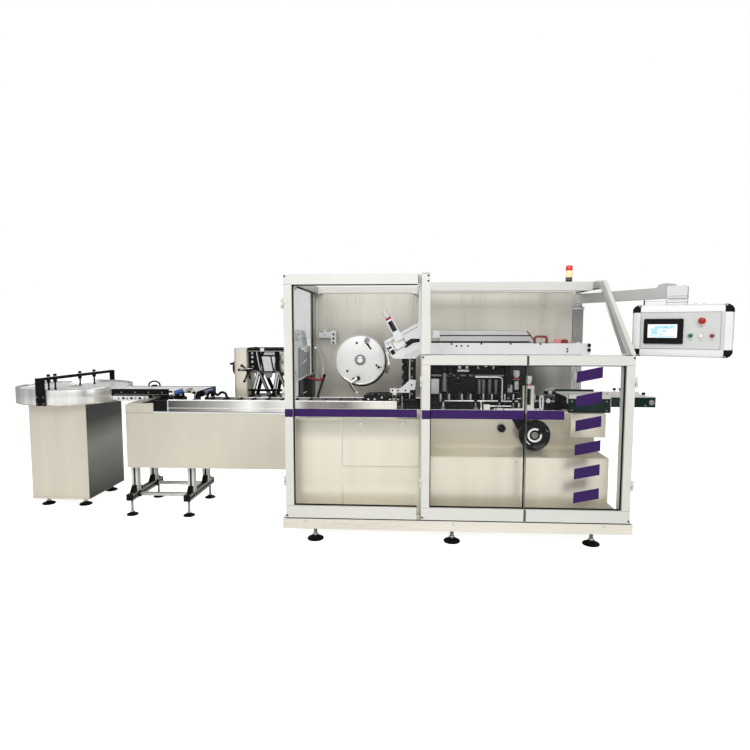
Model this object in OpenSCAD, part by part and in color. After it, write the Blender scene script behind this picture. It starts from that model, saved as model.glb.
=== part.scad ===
// Automatic horizontal cartoner: turntable, product infeed, guarded carton section and discharge belt.
// Working frame: x runs left to right along the line, y runs from the operator side to the back,
// z is up from the floor. x = 0 and y = 0 lie at the front left corner of the guard.

/* [Guard] */
// Length of the guarded machine
guard_length = 2026; // [1900:1:2200]
// Depth of the guard from the door faces to the back
guard_depth = 1050; // [1000:1:1200]
// Height of the guard above the floor
guard_height = 1600; // [1570:1:1700]
// Side of the square guard profile
profile = 50; // [40:1:60]
// Height of the lower guard in front of the carton magazine
low_guard_height = 1130; // [1115:1:1180]
// Setback of the top beam above the carton magazine
top_setback = 635; // [600:1:700]
// Length of the left bay, to the middle post
left_bay = 807; // [780:1:840]
// Height of the tall top rails
tall_rail = 60; // [50:1:70]
// Thickness of the clear panes
pane = 6; // [4:1:10]

/* [Doors] */
// Depth of the door frames
door_depth = 45; // [35:1:50]
// Gap between a closed door and the fixed post behind it
door_gap = 5; // [5:1:8]
// Height of the bottom rail of each door
door_bottom_rail = 72; // [60:1:80]
// Height of the top rail of the two low doors
door_low_rail = 55; // [45:1:60]
// Gap between the plinth and the doors
door_floor_gap = 8; // [6:1:15]
// Gap between the left door and the middle post
left_door_gap = 21; // [19:1:26]
// Place of the split between the middle and the right door
door_split = 1414; // [1350:1:1480]
// Radius of the hinge knuckles
knuckle_r = 6; // [5:0.5:6.5]
// Height of one hinge knuckle
knuckle_h = 30; // [20:1:40]

/* [Base and body] */
// Height of the plinth above the floor
foot_height = 85; // [75:1:100]
// Radius of the pads of the machine's levelling feet
foot_pad_r = 50; // [40:1:60]
// Height of the plinth
plinth_height = 62; // [50:1:80]
// How far the plinth stands out past the guard at each end
plinth_overhang = 17; // [12:1:40]
// Distance from the door faces to the body
body_front = 130; // [125:1:150]
// Distance from the right end of the guard to the body
body_right_gap = 89; // [85:1:110]
// Height of the ledge of the right bay
ledge_height = 508; // [480:1:520]
// Distance from the door faces to the bed
bed_front = 400; // [390:1:430]
// Height of the top of the bed
bed_top = 757; // [745:1:765]
// Thickness of the bed plate
bed_thickness = 22; // [15:1:30]
// Width of the removable inspection cover
cover_w = 466; // [420:1:470]
// Height of the removable inspection cover
cover_h = 293; // [250:1:300]
// Thickness of sheet covers
sheet = 3; // [2:0.5:5]

/* [Infeed] */
// Length of the infeed outside the machine
infeed_length = 1172; // [1120:1:1250]
// Depth of the infeed trough
infeed_depth = 490; // [480:1:520]
// Height of the underside of the infeed trough
infeed_bottom = 341; // [320:1:360]
// Height of the top of the infeed trough
infeed_top = 728; // [700:1:735]
// Length of the block at the left end
end_block_length = 195; // [180:1:210]
// Height of the block at the left end
end_block_height = 56; // [50:1:60]
// Height of the product rail above the bed
rail_height = 49; // [40:1:60]
// Width of the front product rail
rail_width = 28; // [20:1:30]
// Width of the product belt
belt_width = 204; // [190:1:206]
// Pitch of the product flights
flight_pitch = 100; // [80:1:120]
// Height of the product flights
flight_height = 32; // [25:1:34]
// Thickness of the product flights
flight_thickness = 6; // [4:1:8]
// Side of the square columns of the stand
column_side = 46; // [40:1:50]
// Distance between the two foot beams
beam_pitch = 400; // [380:1:420]
// Length of the foot beams
beam_length = 486; // [470:1:500]

/* [Turntable] */
// Diameter of the turntable ring
table_diameter = 780; // [760:1:800]
// Distance from the machine to the turntable centre
table_distance = 1760; // [1750:1:1800]
// Distance from the door faces to the turntable centre
table_depth = 820; // [790:1:830]
// Height of the rim of the ring
rim_top = 862; // [858:1:900]
// Height of the underside of the ring
rim_bottom = 755; // [740:1:770]
// Thickness of the wall of the ring
rim_wall = 10; // [6:1:12]
// Depth of the disc below the rim
disc_drop = 12; // [8:1:13]
// Length of the pedestal along the line
pedestal_length = 420; // [380:1:450]
// Depth of the pedestal
pedestal_depth = 500; // [450:1:540]
// Gap between the pedestal and the floor
pedestal_lift = 60; // [50:1:80]
// Height of the guide bridge
bridge_top = 945; // [935:1:960]
// Direction of the guide bridge
bridge_angle = 83; // [76:1:90]
// How far the guide bridge stands to the right of the disc's middle
bridge_shift = 19; // [0:1:30]

/* [Transfer conveyor] */
// Distance from the door faces to the transfer conveyor
transfer_front = 660; // [655:1:665]
// Width of the transfer conveyor
transfer_width = 204; // [180:1:210]
// Place of its right end, left of the machine
transfer_end = 706; // [690:1:715]
// Height of the transfer side plates
transfer_side = 52; // [45:1:52]

/* [Leaflet folder] */
// Height of the top of the leaflet folder
folder_top = 1146; // [1120:1:1180]
// Depth of the leaflet folder
folder_depth = 200; // [180:1:204]
// Length of the leaflet cabinet
cabinet_length = 101; // [90:1:130]
// Distance from the machine to the leaflet cabinet
cabinet_place = 411; // [390:1:460]
// Radius of the folding rollers
roller_r = 38; // [30:1:39]

/* [Carton rotor] */
// Distance from the left end to the rotor axis
rotor_x = 417; // [400:1:425]
// Height of the rotor axis
rotor_z = 1078; // [1070:1:1100]
// Radius of the rotor disc
rotor_r = 165; // [150:1:168]
// Reach of the suction cups
cup_reach = 203; // [190:1:210]

/* [Carton magazine] */
// Distance from the door faces to the front side plate
magazine_front = 344; // [335:1:360]
// Width of the magazine between its side plates
magazine_width = 210; // [190:1:230]
// Height of the magazine floor
magazine_floor = 1121; // [1100:1:1130]
// Height of the side plates
magazine_side = 72; // [60:1:80]
// Thickness of the side plates
magazine_plate = 6; // [5:1:8]
// Height of the carton guides above the side plates
carton_guide_h = 76; // [60:1:90]

/* [Carton track] */
// Height of the carton track above the bed
track_height = 33; // [25:1:40]
// Width of the carton track
track_width = 180; // [160:1:184]
// Pitch of the pairs of carton lugs
lug_pitch = 140; // [120:1:150]
// Height of the carton lugs
lug_height = 64; // [50:1:70]
// Radius of the guide rods
rod_r = 5; // [4:0.5:6]
// Width of the height scales
scale_w = 44; // [38:1:50]
// Height of the block of the front height scale
scale_h = 158; // [140:1:180]

/* [Discharge] */
// Length of the discharge conveyor past the machine
discharge_reach = 244; // [200:1:300]
// Distance from the door faces to the discharge belt
discharge_front = 300; // [290:1:310]
// Width of the discharge conveyor
discharge_width = 260; // [240:1:280]
// Height of the top of the discharge side plates
discharge_top = 862; // [850:1:870]
// Height of the discharge side plates
discharge_side = 67; // [60:1:75]

/* [Handwheel] */
// Radius of the handwheel
wheel_r = 99; // [85:1:105]
// Distance from the right end of the guard to the handwheel
wheel_from_end = 493; // [470:1:520]
// Gap between the handwheel and the ledge under it
wheel_clearance = 6; // [5:1:15]

/* [Operator panel] */
// Width of the operator panel
panel_w = 531; // [480:1:560]
// Height of the operator panel
panel_h = 312; // [280:1:320]
// Depth of the operator panel
panel_d = 140; // [120:1:150]
// Distance from the top of the guard down to the underside of the operator panel
panel_drop = 485; // [470:1:500]
// Distance from the right end of the guard to the panel pivot
panel_reach = 354; // [345:1:380]
// Distance from the door faces to the panel pivot
panel_place = 243; // [230:1:300]
// How far the panel turns towards the operator
panel_turn = 29; // [20:1:35]
// Side of the square support column
support_side = 72; // [65:1:76]
// Distance from the top of the guard down to the top of the support column
support_drop = 160; // [157:1:165]
// Height of the swing arm profile
arm_h = 67; // [60:1:72]
// Width of the swing arm profile
arm_w = 70; // [60:1:76]

/* [Signal lamp] */
// Radius of the signal lamp
lamp_r = 23; // [20:1:26]
// Height of the signal lamp
lamp_h = 110; // [90:1:130]

/* [Hidden] */
$fn = 48;
running_gap = 0.3;
pedestal_x0 = -table_distance - pedestal_length / 2;
pedestal_y0 = table_depth - pedestal_depth / 2;
table_r = table_diameter / 2;
table_centre = [-table_distance, table_depth];
disc_top = rim_top - disc_drop;
bracket_t = 8;
bracket_half = 35;
back_bracket_half = max(20, bridge_shift + 2);
pan_thickness = 10;
plinth_top = foot_height + plinth_height;
post_y = door_depth + door_gap;
post_back = post_y + profile;
rear_y = guard_depth - profile;
plinth_front = 5;
plinth_back = guard_depth + 80;
body_left = 10;
body_right = guard_length - body_right_gap;
body_back = rear_y - 15;
bed_under = bed_top - bed_thickness;
right_post = guard_length - profile;
deep_rail_z = guard_height - profile;
low_rail_z = low_guard_height - profile;
door_bottom = plinth_top + door_floor_gap;
door_edge = 5;
stile = profile - 2;
left_door_end = left_bay - left_door_gap;
split_gap = 6;
hinge_y = -knuckle_r;
hinge_leaf = 4;
hinge_spread = 29;
infeed_front = bed_front;
infeed_back = bed_front + infeed_depth;
end_block_top = infeed_top + end_block_height;
rail_top = bed_top + rail_height;
rail_start = -infeed_length + end_block_length + 102;
rail_end = rotor_x + 244;
belt_front = bed_front + rail_width + 4;
belt_back = belt_front + belt_width;
belt_start = -infeed_length + end_block_length + 17;
belt_end = rail_end + 29;
belt_top = bed_top + 13;
beam_h = 44;
beam_z = 108;
beam_x0 = -infeed_length - 18;
stand_y = infeed_front + infeed_depth / 2;
column_pitch = 280;
transfer_back = transfer_front + transfer_width;
transfer_plate = 8;
transfer_top = disc_top + 2;
transfer_under = transfer_top - transfer_side;
folder_back = infeed_back;
folder_front = folder_back - folder_depth;
folder_right = -60;
rotor_front = bed_front + 40;
rotor_back = rotor_front + 30;
mag_back = magazine_front + magazine_plate + magazine_width;
mag_left = left_bay + 71;
mag_right = guard_length - 149;
mag_side_top = magazine_floor + magazine_side;
chute_slope = 29;
chute_tip_x = rotor_x + 161;
chute_tip_z = mag_side_top + 9;
housing_left = left_bay + 63;
housing_right = left_bay + 613;
housing_front = belt_back + 4;
bracket_h = 41;
housing_top = magazine_floor - bracket_h;
track_front = bed_front + 40;
track_top = bed_top + track_height;
track_start = belt_end + 10;
track_end = guard_length - 336;
rod_y = bed_front + 25;
discharge_under = discharge_top - discharge_side;
discharge_back = discharge_front + discharge_width;
discharge_end = guard_length + discharge_reach;
guard_box_left = guard_length - 306;
guard_box_right = guard_length - 51;
guard_box_front = discharge_front - 60;
drive_box_front = bed_front - 200;
drive_box_under = bed_top - 136;
drive_box_top = bed_top + 10;
side_plate = 8;
wheel_back = bed_front - 20;
wheel_x = guard_length - wheel_from_end;
wheel_z = ledge_height + wheel_r + wheel_clearance;
wheel_front = bed_front - 110;
support_top = guard_height - support_drop;
panel_bottom = guard_height - panel_drop;
support_x0 = guard_length - support_side + 4;
support_axis = [support_x0 + support_side / 2, rear_y + support_side / 2];
panel_axis = [guard_length + panel_reach, panel_place];
arm_vector = panel_axis - support_axis;
arm_length = norm(arm_vector);
arm_angle = atan2(arm_vector[1], arm_vector[0]);
bearing_top = support_top + 10;
arm_z = bearing_top + 20;
panel_top = panel_bottom + panel_h;
head_under = panel_top + 38;
head_left = panel_w * 0.155;
head_right = panel_w * 0.047;

// The row origin lies on the floor under the middle of the whole outline.
outline_left = -table_distance - table_r;
outline_right = panel_axis[0] + panel_w / 2 * cos(panel_turn) + panel_d / 2 * sin(panel_turn);
outline_front = hinge_y - knuckle_r;
outline_back = table_depth + (table_r + bracket_t) * sin(bridge_angle)
    + (back_bracket_half - bridge_shift) * cos(bridge_angle);
origin = [(outline_left + outline_right) / 2, (outline_front + outline_back) / 2];

// A box between two corners
module box(x0, x1, y0, y1, z0, z1) {
    translate([x0, y0, z0]) cube([x1 - x0, y1 - y0, z1 - z0]);
}

// A plate with an outline in x and z, between two depths
module plate_xz(outline, y0, y1) {
    translate([0, y1, 0]) rotate([90, 0, 0]) linear_extrude(y1 - y0) polygon(outline);
}

// A plate with an outline in y and z, between two places along the line
module plate_yz(outline, x0, x1) {
    translate([x0, 0, 0]) rotate([90, 0, 90]) linear_extrude(x1 - x0) polygon(outline);
}

// Round bars along the three axes
module rod_x(x0, x1, y, z, r) {
    translate([x0, y, z]) rotate([0, 90, 0]) cylinder(r = r, h = x1 - x0);
}
module rod_y(x, y0, y1, z, r) {
    translate([x, y0, z]) rotate([-90, 0, 0]) cylinder(r = r, h = y1 - y0);
}
module rod_z(x, y, z0, z1, r) {
    translate([x, y, z0]) cylinder(r = r, h = z1 - z0);
}

// A levelling foot: a dished pad under a threaded stem
module foot(x, y, top, pad_r, stem_r) {
    pad_edge = pad_r * 0.16;
    pad_h = pad_r * 0.45;
    translate([x, y, 0]) rotate_extrude()
        polygon([[0, 0], [pad_r, 0], [pad_r, pad_edge], [stem_r * 1.8, pad_h], [stem_r, pad_h],
                 [stem_r, top], [0, top]]);
}

// A flat outline with round corners
module rounded_rectangle(w, h, r) {
    square([w - 2 * r, h], center = true);
    square([w, h - 2 * r], center = true);
    for (x = [-1, 1], y = [-1, 1])
        translate([x * (w / 2 - r), y * (h / 2 - r)]) circle(r = r);
}

module base_plinth() color("gainsboro")
    box(-plinth_overhang, guard_length + plinth_overhang, plinth_front, plinth_back, foot_height, plinth_top);

module levelling_feet() color("dimgray") {
    pedestal_inset = pedestal_length / 6;
    for (x = [0.084, 0.494, 0.902], y = [plinth_front + 65, plinth_back - 100])
        foot(x * guard_length, y, foot_height, foot_pad_r, foot_pad_r * 0.22);
    for (x = [beam_x0 + column_side / 2, beam_x0 + beam_pitch + column_side / 2],
         y = [stand_y - beam_length / 2 + 36, stand_y + beam_length / 2 - 36])
        foot(x, y, beam_z, foot_pad_r * 0.78, foot_pad_r * 0.16);
    for (x = [pedestal_x0 + pedestal_inset, pedestal_x0 + pedestal_length - pedestal_inset],
         y = [pedestal_y0 + pedestal_inset, pedestal_y0 + pedestal_depth - pedestal_inset])
        foot(x, y, pedestal_lift, foot_pad_r * 0.88, foot_pad_r * 0.18);
}

// Steel body: full height on the left, stepped back above a ledge on the right, with the bearing boss
// of the handwheel on its front.
module machine_body() color("gainsboro") {
    ledge_left = left_bay + profile;
    difference() {
        box(body_left, body_right, body_front, body_back, plinth_top, bed_under);
        box(ledge_left, body_right + 1, body_front - 1, bed_front, ledge_height, bed_under + 1);
    }
    rod_y(wheel_x, wheel_back, bed_front, wheel_z, 34);
}

// Drive box of the discharge belt
module drive_box() color("gainsboro")
    box(guard_box_left + 8, body_right, drive_box_front, bed_front, drive_box_under, drive_box_top);

module inspection_cover() color("gainsboro") {
    cover_left = left_bay - 7 - cover_w;
    cover_bottom = bed_under + 1 - cover_h;
    box(cover_left, cover_left + cover_w, body_front - sheet, body_front, cover_bottom, cover_bottom + cover_h);
    for (x = [0.225, 0.79])
        rod_y(cover_left + x * cover_w, body_front - sheet - 7, body_front - sheet, bed_under - 30, 9);
}

module bed_plate() color("silver")
    box(body_left, body_right, bed_front, body_back, bed_under, bed_top);

module guard_posts() color("whitesmoke") {
    for (x = [0, left_bay])
        box(x, x + profile, post_y, post_back, plinth_top, guard_height);
    box(left_bay, left_bay + profile, 0, post_y, low_guard_height + 6, guard_height);
    box(right_post, guard_length, post_y, post_back, plinth_top, low_guard_height);
    box(0, profile, rear_y, guard_depth, plinth_top, guard_height);
}

module guard_long_rails() color("whitesmoke") {
    box(profile, left_bay, post_y, post_back, deep_rail_z, guard_height);
    box(left_bay + profile, right_post, post_y, post_back, low_rail_z, low_guard_height);
    box(left_bay + profile, right_post, top_setback, top_setback + profile, guard_height - tall_rail, guard_height);
    box(profile, guard_length, rear_y, guard_depth, deep_rail_z, guard_height);
}

module guard_deep_rails() color("whitesmoke") {
    for (x = [0, left_bay])
        box(x, x + profile, post_back, rear_y, deep_rail_z, guard_height);
    box(right_post, guard_length, top_setback, rear_y, deep_rail_z, guard_height);
}

// Leaning post over the right door, rounded where it meets the top rail
module slanted_post() color("lightgray") {
    bend_r = 40;
    foot_front = post_y - 40;
    foot_back = post_y + 42;
    foot_z = low_guard_height + 6;
    bend = [top_setback - 95, guard_height - bend_r];
    lean = atan2(bend[1] - foot_z, bend[0] - foot_front - bend_r * 0.7);
    arc = [for (a = [90:10:90 + lean]) bend + bend_r * [cos(a), sin(a)]];
    plate_yz(concat([[post_y, foot_z], [post_y, low_guard_height], [foot_back, low_guard_height],
                     [top_setback - profile * 3.1, deep_rail_z], [top_setback, deep_rail_z], [top_setback, guard_height]],
                    arc, [[foot_front, foot_z]]),
             right_post, guard_length);
}

module side_glass() color("lightcyan", 0.3) {
    pane_bottom = bed_top + 195;
    pane_x = profile / 2 - pane / 2;
    box(pane_x, pane_x + pane, post_back, rear_y, pane_bottom, deep_rail_z);
}

module back_panel() color("silver")
    box(profile, support_x0 - 6, rear_y + 8, rear_y + 8 + sheet, bed_top, deep_rail_z);

// The hinge axes: [x of the axis, sign towards the door, heights]
left_hinge = [-1, 1, [plinth_top + 203, guard_height * 0.55, guard_height - 200]];
middle_hinge = [left_bay - 1, 1, [plinth_top + 203, low_guard_height - 180]];
right_hinge = [guard_length + 1, -1, [plinth_top + 203, low_guard_height - 180]];

// Fixed halves of the lift-off hinges, on the sides of the posts
module door_hinges() color("silver")
    for (h = [left_hinge, middle_hinge, right_hinge], z = h[2]) {
        side = h[0] + h[1];
        rod_z(h[0], hinge_y, z, z + knuckle_h, knuckle_r);
        box(min(side, side - h[1] * hinge_leaf), max(side, side - h[1] * hinge_leaf),
            hinge_y, post_y + 40, z, z + knuckle_h);
    }

// Door halves of the hinges, on the face of the stile
module door_knuckles(h) {
    for (z = h[2]) {
        base = z + knuckle_h + running_gap;
        far = h[0] + h[1] * hinge_spread;
        rod_z(h[0], hinge_y, base, base + knuckle_h, knuckle_r);
        box(min(h[0], far), max(h[0], far), -hinge_leaf, 0, base, base + knuckle_h);
    }
}

// A door frame with one stile at its hinge and a free edge of clear sheet on the other side
module door_frame(x0, x1, top, top_rail, hinge) {
    stile_x = hinge[1] > 0 ? x0 : x1 - stile;
    color("whitesmoke") {
        box(stile_x, stile_x + stile, 0, door_depth, door_bottom, top);
        box(x0, x1, 0, door_depth, top - top_rail, top);
        box(x0, x1, 0, door_depth, door_bottom, door_bottom + door_bottom_rail);
        door_knuckles(hinge);
    }
}

module door_glass(x0, x1, top, top_rail, hinge) {
    pane_x0 = hinge[1] > 0 ? x0 + stile : x0;
    pane_x1 = hinge[1] > 0 ? x1 : x1 - stile;
    pane_y = door_depth / 2 - pane / 2;
    color("lightcyan", 0.3)
        box(pane_x0, pane_x1, pane_y, pane_y + pane, door_bottom + door_bottom_rail, top - top_rail);
}

module left_door_frame() door_frame(door_edge, left_door_end, guard_height, tall_rail, left_hinge);
module left_door_glass() door_glass(door_edge, left_door_end, guard_height, tall_rail, left_hinge);
module middle_door_frame()
    door_frame(left_bay + door_edge, door_split - split_gap / 2, low_guard_height, door_low_rail, middle_hinge);
module middle_door_glass()
    door_glass(left_bay + door_edge, door_split - split_gap / 2, low_guard_height, door_low_rail, middle_hinge);
module right_door_frame()
    door_frame(door_split + split_gap / 2, guard_length - door_edge, low_guard_height, door_low_rail, right_hinge);
module right_door_glass()
    door_glass(door_split + split_gap / 2, guard_length - door_edge, low_guard_height, door_low_rail, right_hinge);

// Infeed trough with the raised block over its tail sprocket
module infeed_body() color("gainsboro") {
    block_end = -infeed_length + end_block_length;
    box(-infeed_length, body_left, infeed_front, infeed_back, infeed_bottom, infeed_top);
    plate_xz([[-infeed_length, infeed_top], [block_end, infeed_top], [block_end, end_block_top],
              [-infeed_length + 22, end_block_top], [-infeed_length, end_block_top - 14]],
             infeed_front, infeed_back);
}

// A strip that lies on the infeed trough outside the machine and on the bed inside it
module stepped_strip(x0, x1, y0, y1, top) {
    box(x0, body_left, y0, y1, infeed_top, top);
    box(body_left, x1, y0, y1, bed_top, top);
}

module product_rails() color("silver") {
    rear_rail = 10;
    stepped_strip(rail_start, rail_end, bed_front, bed_front + rail_width, rail_top);
    stepped_strip(-transfer_end + 30, rail_end, belt_back + 4, belt_back + 4 + rear_rail, rail_top - 6);
}

module product_belt() color("dimgray")
    stepped_strip(belt_start, belt_end, belt_front, belt_back, belt_top);

module product_flights() color("black")
    for (x = [belt_start + 20:flight_pitch:belt_end - flight_thickness])
        box(x, x + flight_thickness, belt_front + 8, belt_back - 8, belt_top, belt_top + flight_height);

module stand_columns() color("gainsboro") {
    tie_r = 14;
    column_top = beam_z + beam_h;
    for (x = [0, beam_pitch], y = [-column_pitch / 2, column_pitch / 2])
        box(beam_x0 + x, beam_x0 + x + column_side, stand_y + y - column_side / 2,
            stand_y + y + column_side / 2, column_top, infeed_bottom);
    for (y = [-column_pitch / 2, column_pitch / 2])
        rod_x(beam_x0 + column_side, beam_x0 + beam_pitch, stand_y + y, beam_z + beam_h / 2, tie_r);
}

module stand_beams() color("dimgray")
    for (x = [0, beam_pitch])
        box(beam_x0 + x, beam_x0 + x + column_side, stand_y - beam_length / 2, stand_y + beam_length / 2,
            beam_z, beam_z + beam_h);

module turntable_pedestal() color("gainsboro")
    box(pedestal_x0, pedestal_x0 + pedestal_length, pedestal_y0, pedestal_y0 + pedestal_depth,
        pedestal_lift, rim_bottom);

// Ring with a closed floor, notched where products leave onto the transfer conveyor
module turntable_ring() color("silver") difference() {
    translate(table_centre) rotate_extrude($fn = 96)
        polygon([[0, rim_bottom], [table_r, rim_bottom], [table_r, rim_top], [table_r - rim_wall, rim_top],
                 [table_r - rim_wall, rim_bottom + pan_thickness], [0, rim_bottom + pan_thickness]]);
    box(-table_distance + table_r / 2, -table_distance + table_r + 1, transfer_front, transfer_back,
        disc_top - 2, rim_top + 1);
}

module turntable_disc() color("whitesmoke") {
    disc_r = table_r - rim_wall - 8;
    translate(table_centre) rotate_extrude($fn = 96)
        polygon([[0, rim_bottom + pan_thickness + running_gap], [60, rim_bottom + pan_thickness + running_gap],
                 [60, disc_top - 10], [disc_r, disc_top - 10], [disc_r, disc_top], [0, disc_top]]);
}

// Bridge over the turntable with hanging guide rods, each clamped with a knob
module turntable_guide() color("black") translate(table_centre) rotate([0, 0, bridge_angle])
    translate([0, -bridge_shift, 0]) {
        bar_h = 20;
        bar_half = 10;
        rod_z0 = disc_top + 4;
        bar_z = bridge_top - bar_h;
        // The front bracket reaches further to the right than the bar that it carries.
        front_offset = bracket_half - bar_half - 13;
        box(-table_r - bracket_t, -table_r, -bracket_half - front_offset, bracket_half - front_offset,
            rim_bottom, bridge_top);
        box(table_r, table_r + bracket_t, -back_bracket_half, back_bracket_half, rim_bottom + 45, bridge_top);
        box(-table_r - bracket_t / 2, table_r + bracket_t / 2, -bar_half, bar_half, bar_z, bridge_top);
        for (t = [-0.77, -0.61, 0.04, 0.45]) {
            rod_z(t * table_r, 0, rod_z0, bar_z + 1, 6);
            rod_z(t * table_r, 0, bridge_top - 1, bridge_top + 20, 9);
        }
    }

// The round end of whatever butts against the turntable ring
module ring_clearance() translate([-table_distance, table_depth, 0]) cylinder(r = table_r + 1, h = 2000, $fn = 96);

module transfer_sides() color("black") {
    start = -table_distance + table_r - 60;
    leg = 30;
    front_end = -infeed_length + end_block_length - 6;
    difference() {
        union() {
            box(start, front_end, transfer_front, transfer_front + transfer_plate, transfer_under, transfer_top);
            box(start, -transfer_end, transfer_back - transfer_plate, transfer_back, transfer_under, transfer_top);
        }
        ring_clearance();
    }
    for (y = [transfer_front, transfer_back - transfer_plate])
        for (x = [-infeed_length + 40, -infeed_length + end_block_length - leg - 10])
            box(x, x + leg, y, y + transfer_plate, end_block_top, transfer_under + 1);
    box(-transfer_end - leg - 10, -transfer_end - 10, transfer_back - transfer_plate, transfer_back,
        infeed_top, transfer_under + 1);
    box(-transfer_end - 12, -transfer_end, transfer_front - 157, transfer_back - transfer_plate + 1,
        transfer_top - 44, transfer_top);
}

module transfer_belt() color("gainsboro") difference() {
    box(-table_distance + table_r - 60, -transfer_end - 14, transfer_front + transfer_plate,
        transfer_back - transfer_plate, transfer_top - 16, transfer_top - 2);
    ring_clearance();
}

module leaflet_cabinet() color("gainsboro")
    box(-cabinet_place - cabinet_length, -cabinet_place, folder_front, folder_back, infeed_top, folder_top);

// Open frame of the leaflet folder on leaning legs, with the crank wheel outside the cabinet
module leaflet_frame() color("black") {
    bar = 26;
    foot_h = 72;
    wall = 20;
    leg = 24;
    wheel_out = 26;
    base_top = infeed_top + foot_h;
    knee = base_top + (folder_top - base_top) * 0.535;
    span = folder_right - wall + cabinet_place;
    front = folder_front + 32;
    box(-cabinet_place, folder_right, folder_front, folder_back, infeed_top, base_top);
    box(-cabinet_place, folder_right, folder_front, front + wall, folder_top - bar, folder_top);
    box(-cabinet_place, folder_right, folder_back - wall, folder_back, folder_top - bar, folder_top);
    box(folder_right - wall, folder_right, folder_front, folder_back, base_top - 1, folder_top);
    for (y = [front, folder_back - wall]) {
        for (pair = [[0.02, 0.172], [0.41, 0.172], [0.486, 0.595], [0.83, 0.595]]) {
            low = -cabinet_place + pair[0] * span;
            high = -cabinet_place + pair[1] * span;
            plate_xz([[low, base_top - 1], [low + leg, base_top - 1], [high + leg, knee], [high, knee]], y, y + wall);
        }
        box(-cabinet_place, -cabinet_place + 0.172 * span + leg, y, y + wall, knee - 1, folder_top - bar + 1);
        box(-cabinet_place + 0.595 * span, -cabinet_place + 0.595 * span + leg, y, y + wall, knee - 1, folder_top - bar + 1);
    }
    rod_x(-cabinet_place - cabinet_length - wheel_out, -cabinet_place - cabinet_length,
          folder_front + 100, folder_top - 146, 12);
    rod_x(-cabinet_place - cabinet_length - wheel_out, -cabinet_place - cabinet_length - wheel_out + 16,
          folder_front + 100, folder_top - 146, 48);
}

module leaflet_rollers() color("white")
    for (i = [0:1])
        rod_x(-cabinet_place, folder_right - 20, folder_front + 100, folder_top - 72 - i * (2 * roller_r + 2), roller_r);

module rotor_bearing() color("dimgray")
    rod_y(rotor_x, rotor_back + running_gap, rear_y + 8, rotor_z, 60);

// Rotor that swings cartons from the magazine onto the track: face disc, drum, hub and suction cups
module carton_rotor() color("lightgray") {
    hub_r = 36;
    cup_r = 22;
    cup_y = rotor_front + 12 + cup_r + 1;
    cup_angle = 339;
    rod_y(rotor_x, rotor_front, rotor_front + 12, rotor_z, rotor_r);
    rod_y(rotor_x, rotor_front + 11, rotor_back, rotor_z, rotor_r - 18);
    rod_y(rotor_x, rotor_front - 20, rotor_front + 1, rotor_z, hub_r);
    for (a = [72, 251, cup_angle])
        translate([rotor_x, 0, rotor_z]) rotate([0, -a, 0])
            box(rotor_r - 42, rotor_r - 12, rotor_front - 14, rotor_front + 1, -13, 13);
    translate([rotor_x, 0, rotor_z]) rotate([0, -cup_angle, 0]) rod_x(100, cup_reach, cup_y, 0, cup_r);
}

// Side plates of the magazine, drawn down to the rotor along the sloping chute
module magazine_sides() color("whitesmoke") {
    tip = [chute_tip_x, chute_tip_z];
    top_x = mag_left - 28;
    top_z = tip[1] + (top_x - tip[0]) * tan(chute_slope);
    outline = [tip, [top_x, top_z], [mag_left, top_z], [mag_left, mag_side_top], [mag_right, mag_side_top],
               [mag_right, magazine_floor], [mag_left - 72, magazine_floor],
               [mag_left - 101, magazine_floor - 29], [chute_tip_x + 62, magazine_floor - 29],
               [chute_tip_x + 19, magazine_floor + 10]];
    for (y = [magazine_front, mag_back])
        plate_xz(outline, y, y + magazine_plate);
}

// Floor of the magazine, dropping to the rotor along the chute, on two arms from the pusher housing
module magazine_deck() color("silver") {
    deck = 14;
    y0 = magazine_front + magazine_plate;
    low_x = chute_tip_x + 82;
    low_z = magazine_floor - 29;
    plate_xz([[low_x, low_z], [mag_left, magazine_floor], [mag_right, magazine_floor],
              [mag_right, magazine_floor + deck], [mag_left, magazine_floor + deck], [low_x, low_z + deck]],
             y0, mag_back);
    for (x = [housing_left + 80, housing_right - 70])
        box(x, x + 40, magazine_front + 60, body_back, housing_top, magazine_floor);
}

// Two polished guides that keep the cartons upright, sloped at their loading end
module carton_guides() color("silver") {
    z0 = magazine_floor + 14;
    z1 = mag_side_top + carton_guide_h;
    x0 = mag_left + 55;
    x1 = x0 + (mag_right - mag_left) * 0.5555;
    end_slope = carton_guide_h * 0.75;
    for (y = [magazine_front + magazine_plate + 30, mag_back - 34])
        plate_xz([[x0, z0], [x1 + end_slope, z0], [x1, z1], [x0, z1]], y, y + 4);
    box(mag_left + 10, x0 + 1, magazine_front + magazine_plate + 20, mag_back - 20, z1 - 44, z1);
}

module carton_track() color("dimgray")
    box(track_start, track_end, track_front, track_front + track_width, bed_top, track_top);

module carton_lugs() color("whitesmoke")
    for (x = [track_start + 250:lug_pitch:track_end - 120], dx = [0, 56], y = [18, track_width - 18])
        rod_z(x + dx, track_front + y, track_top, track_top + lug_height, rod_r);

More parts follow.
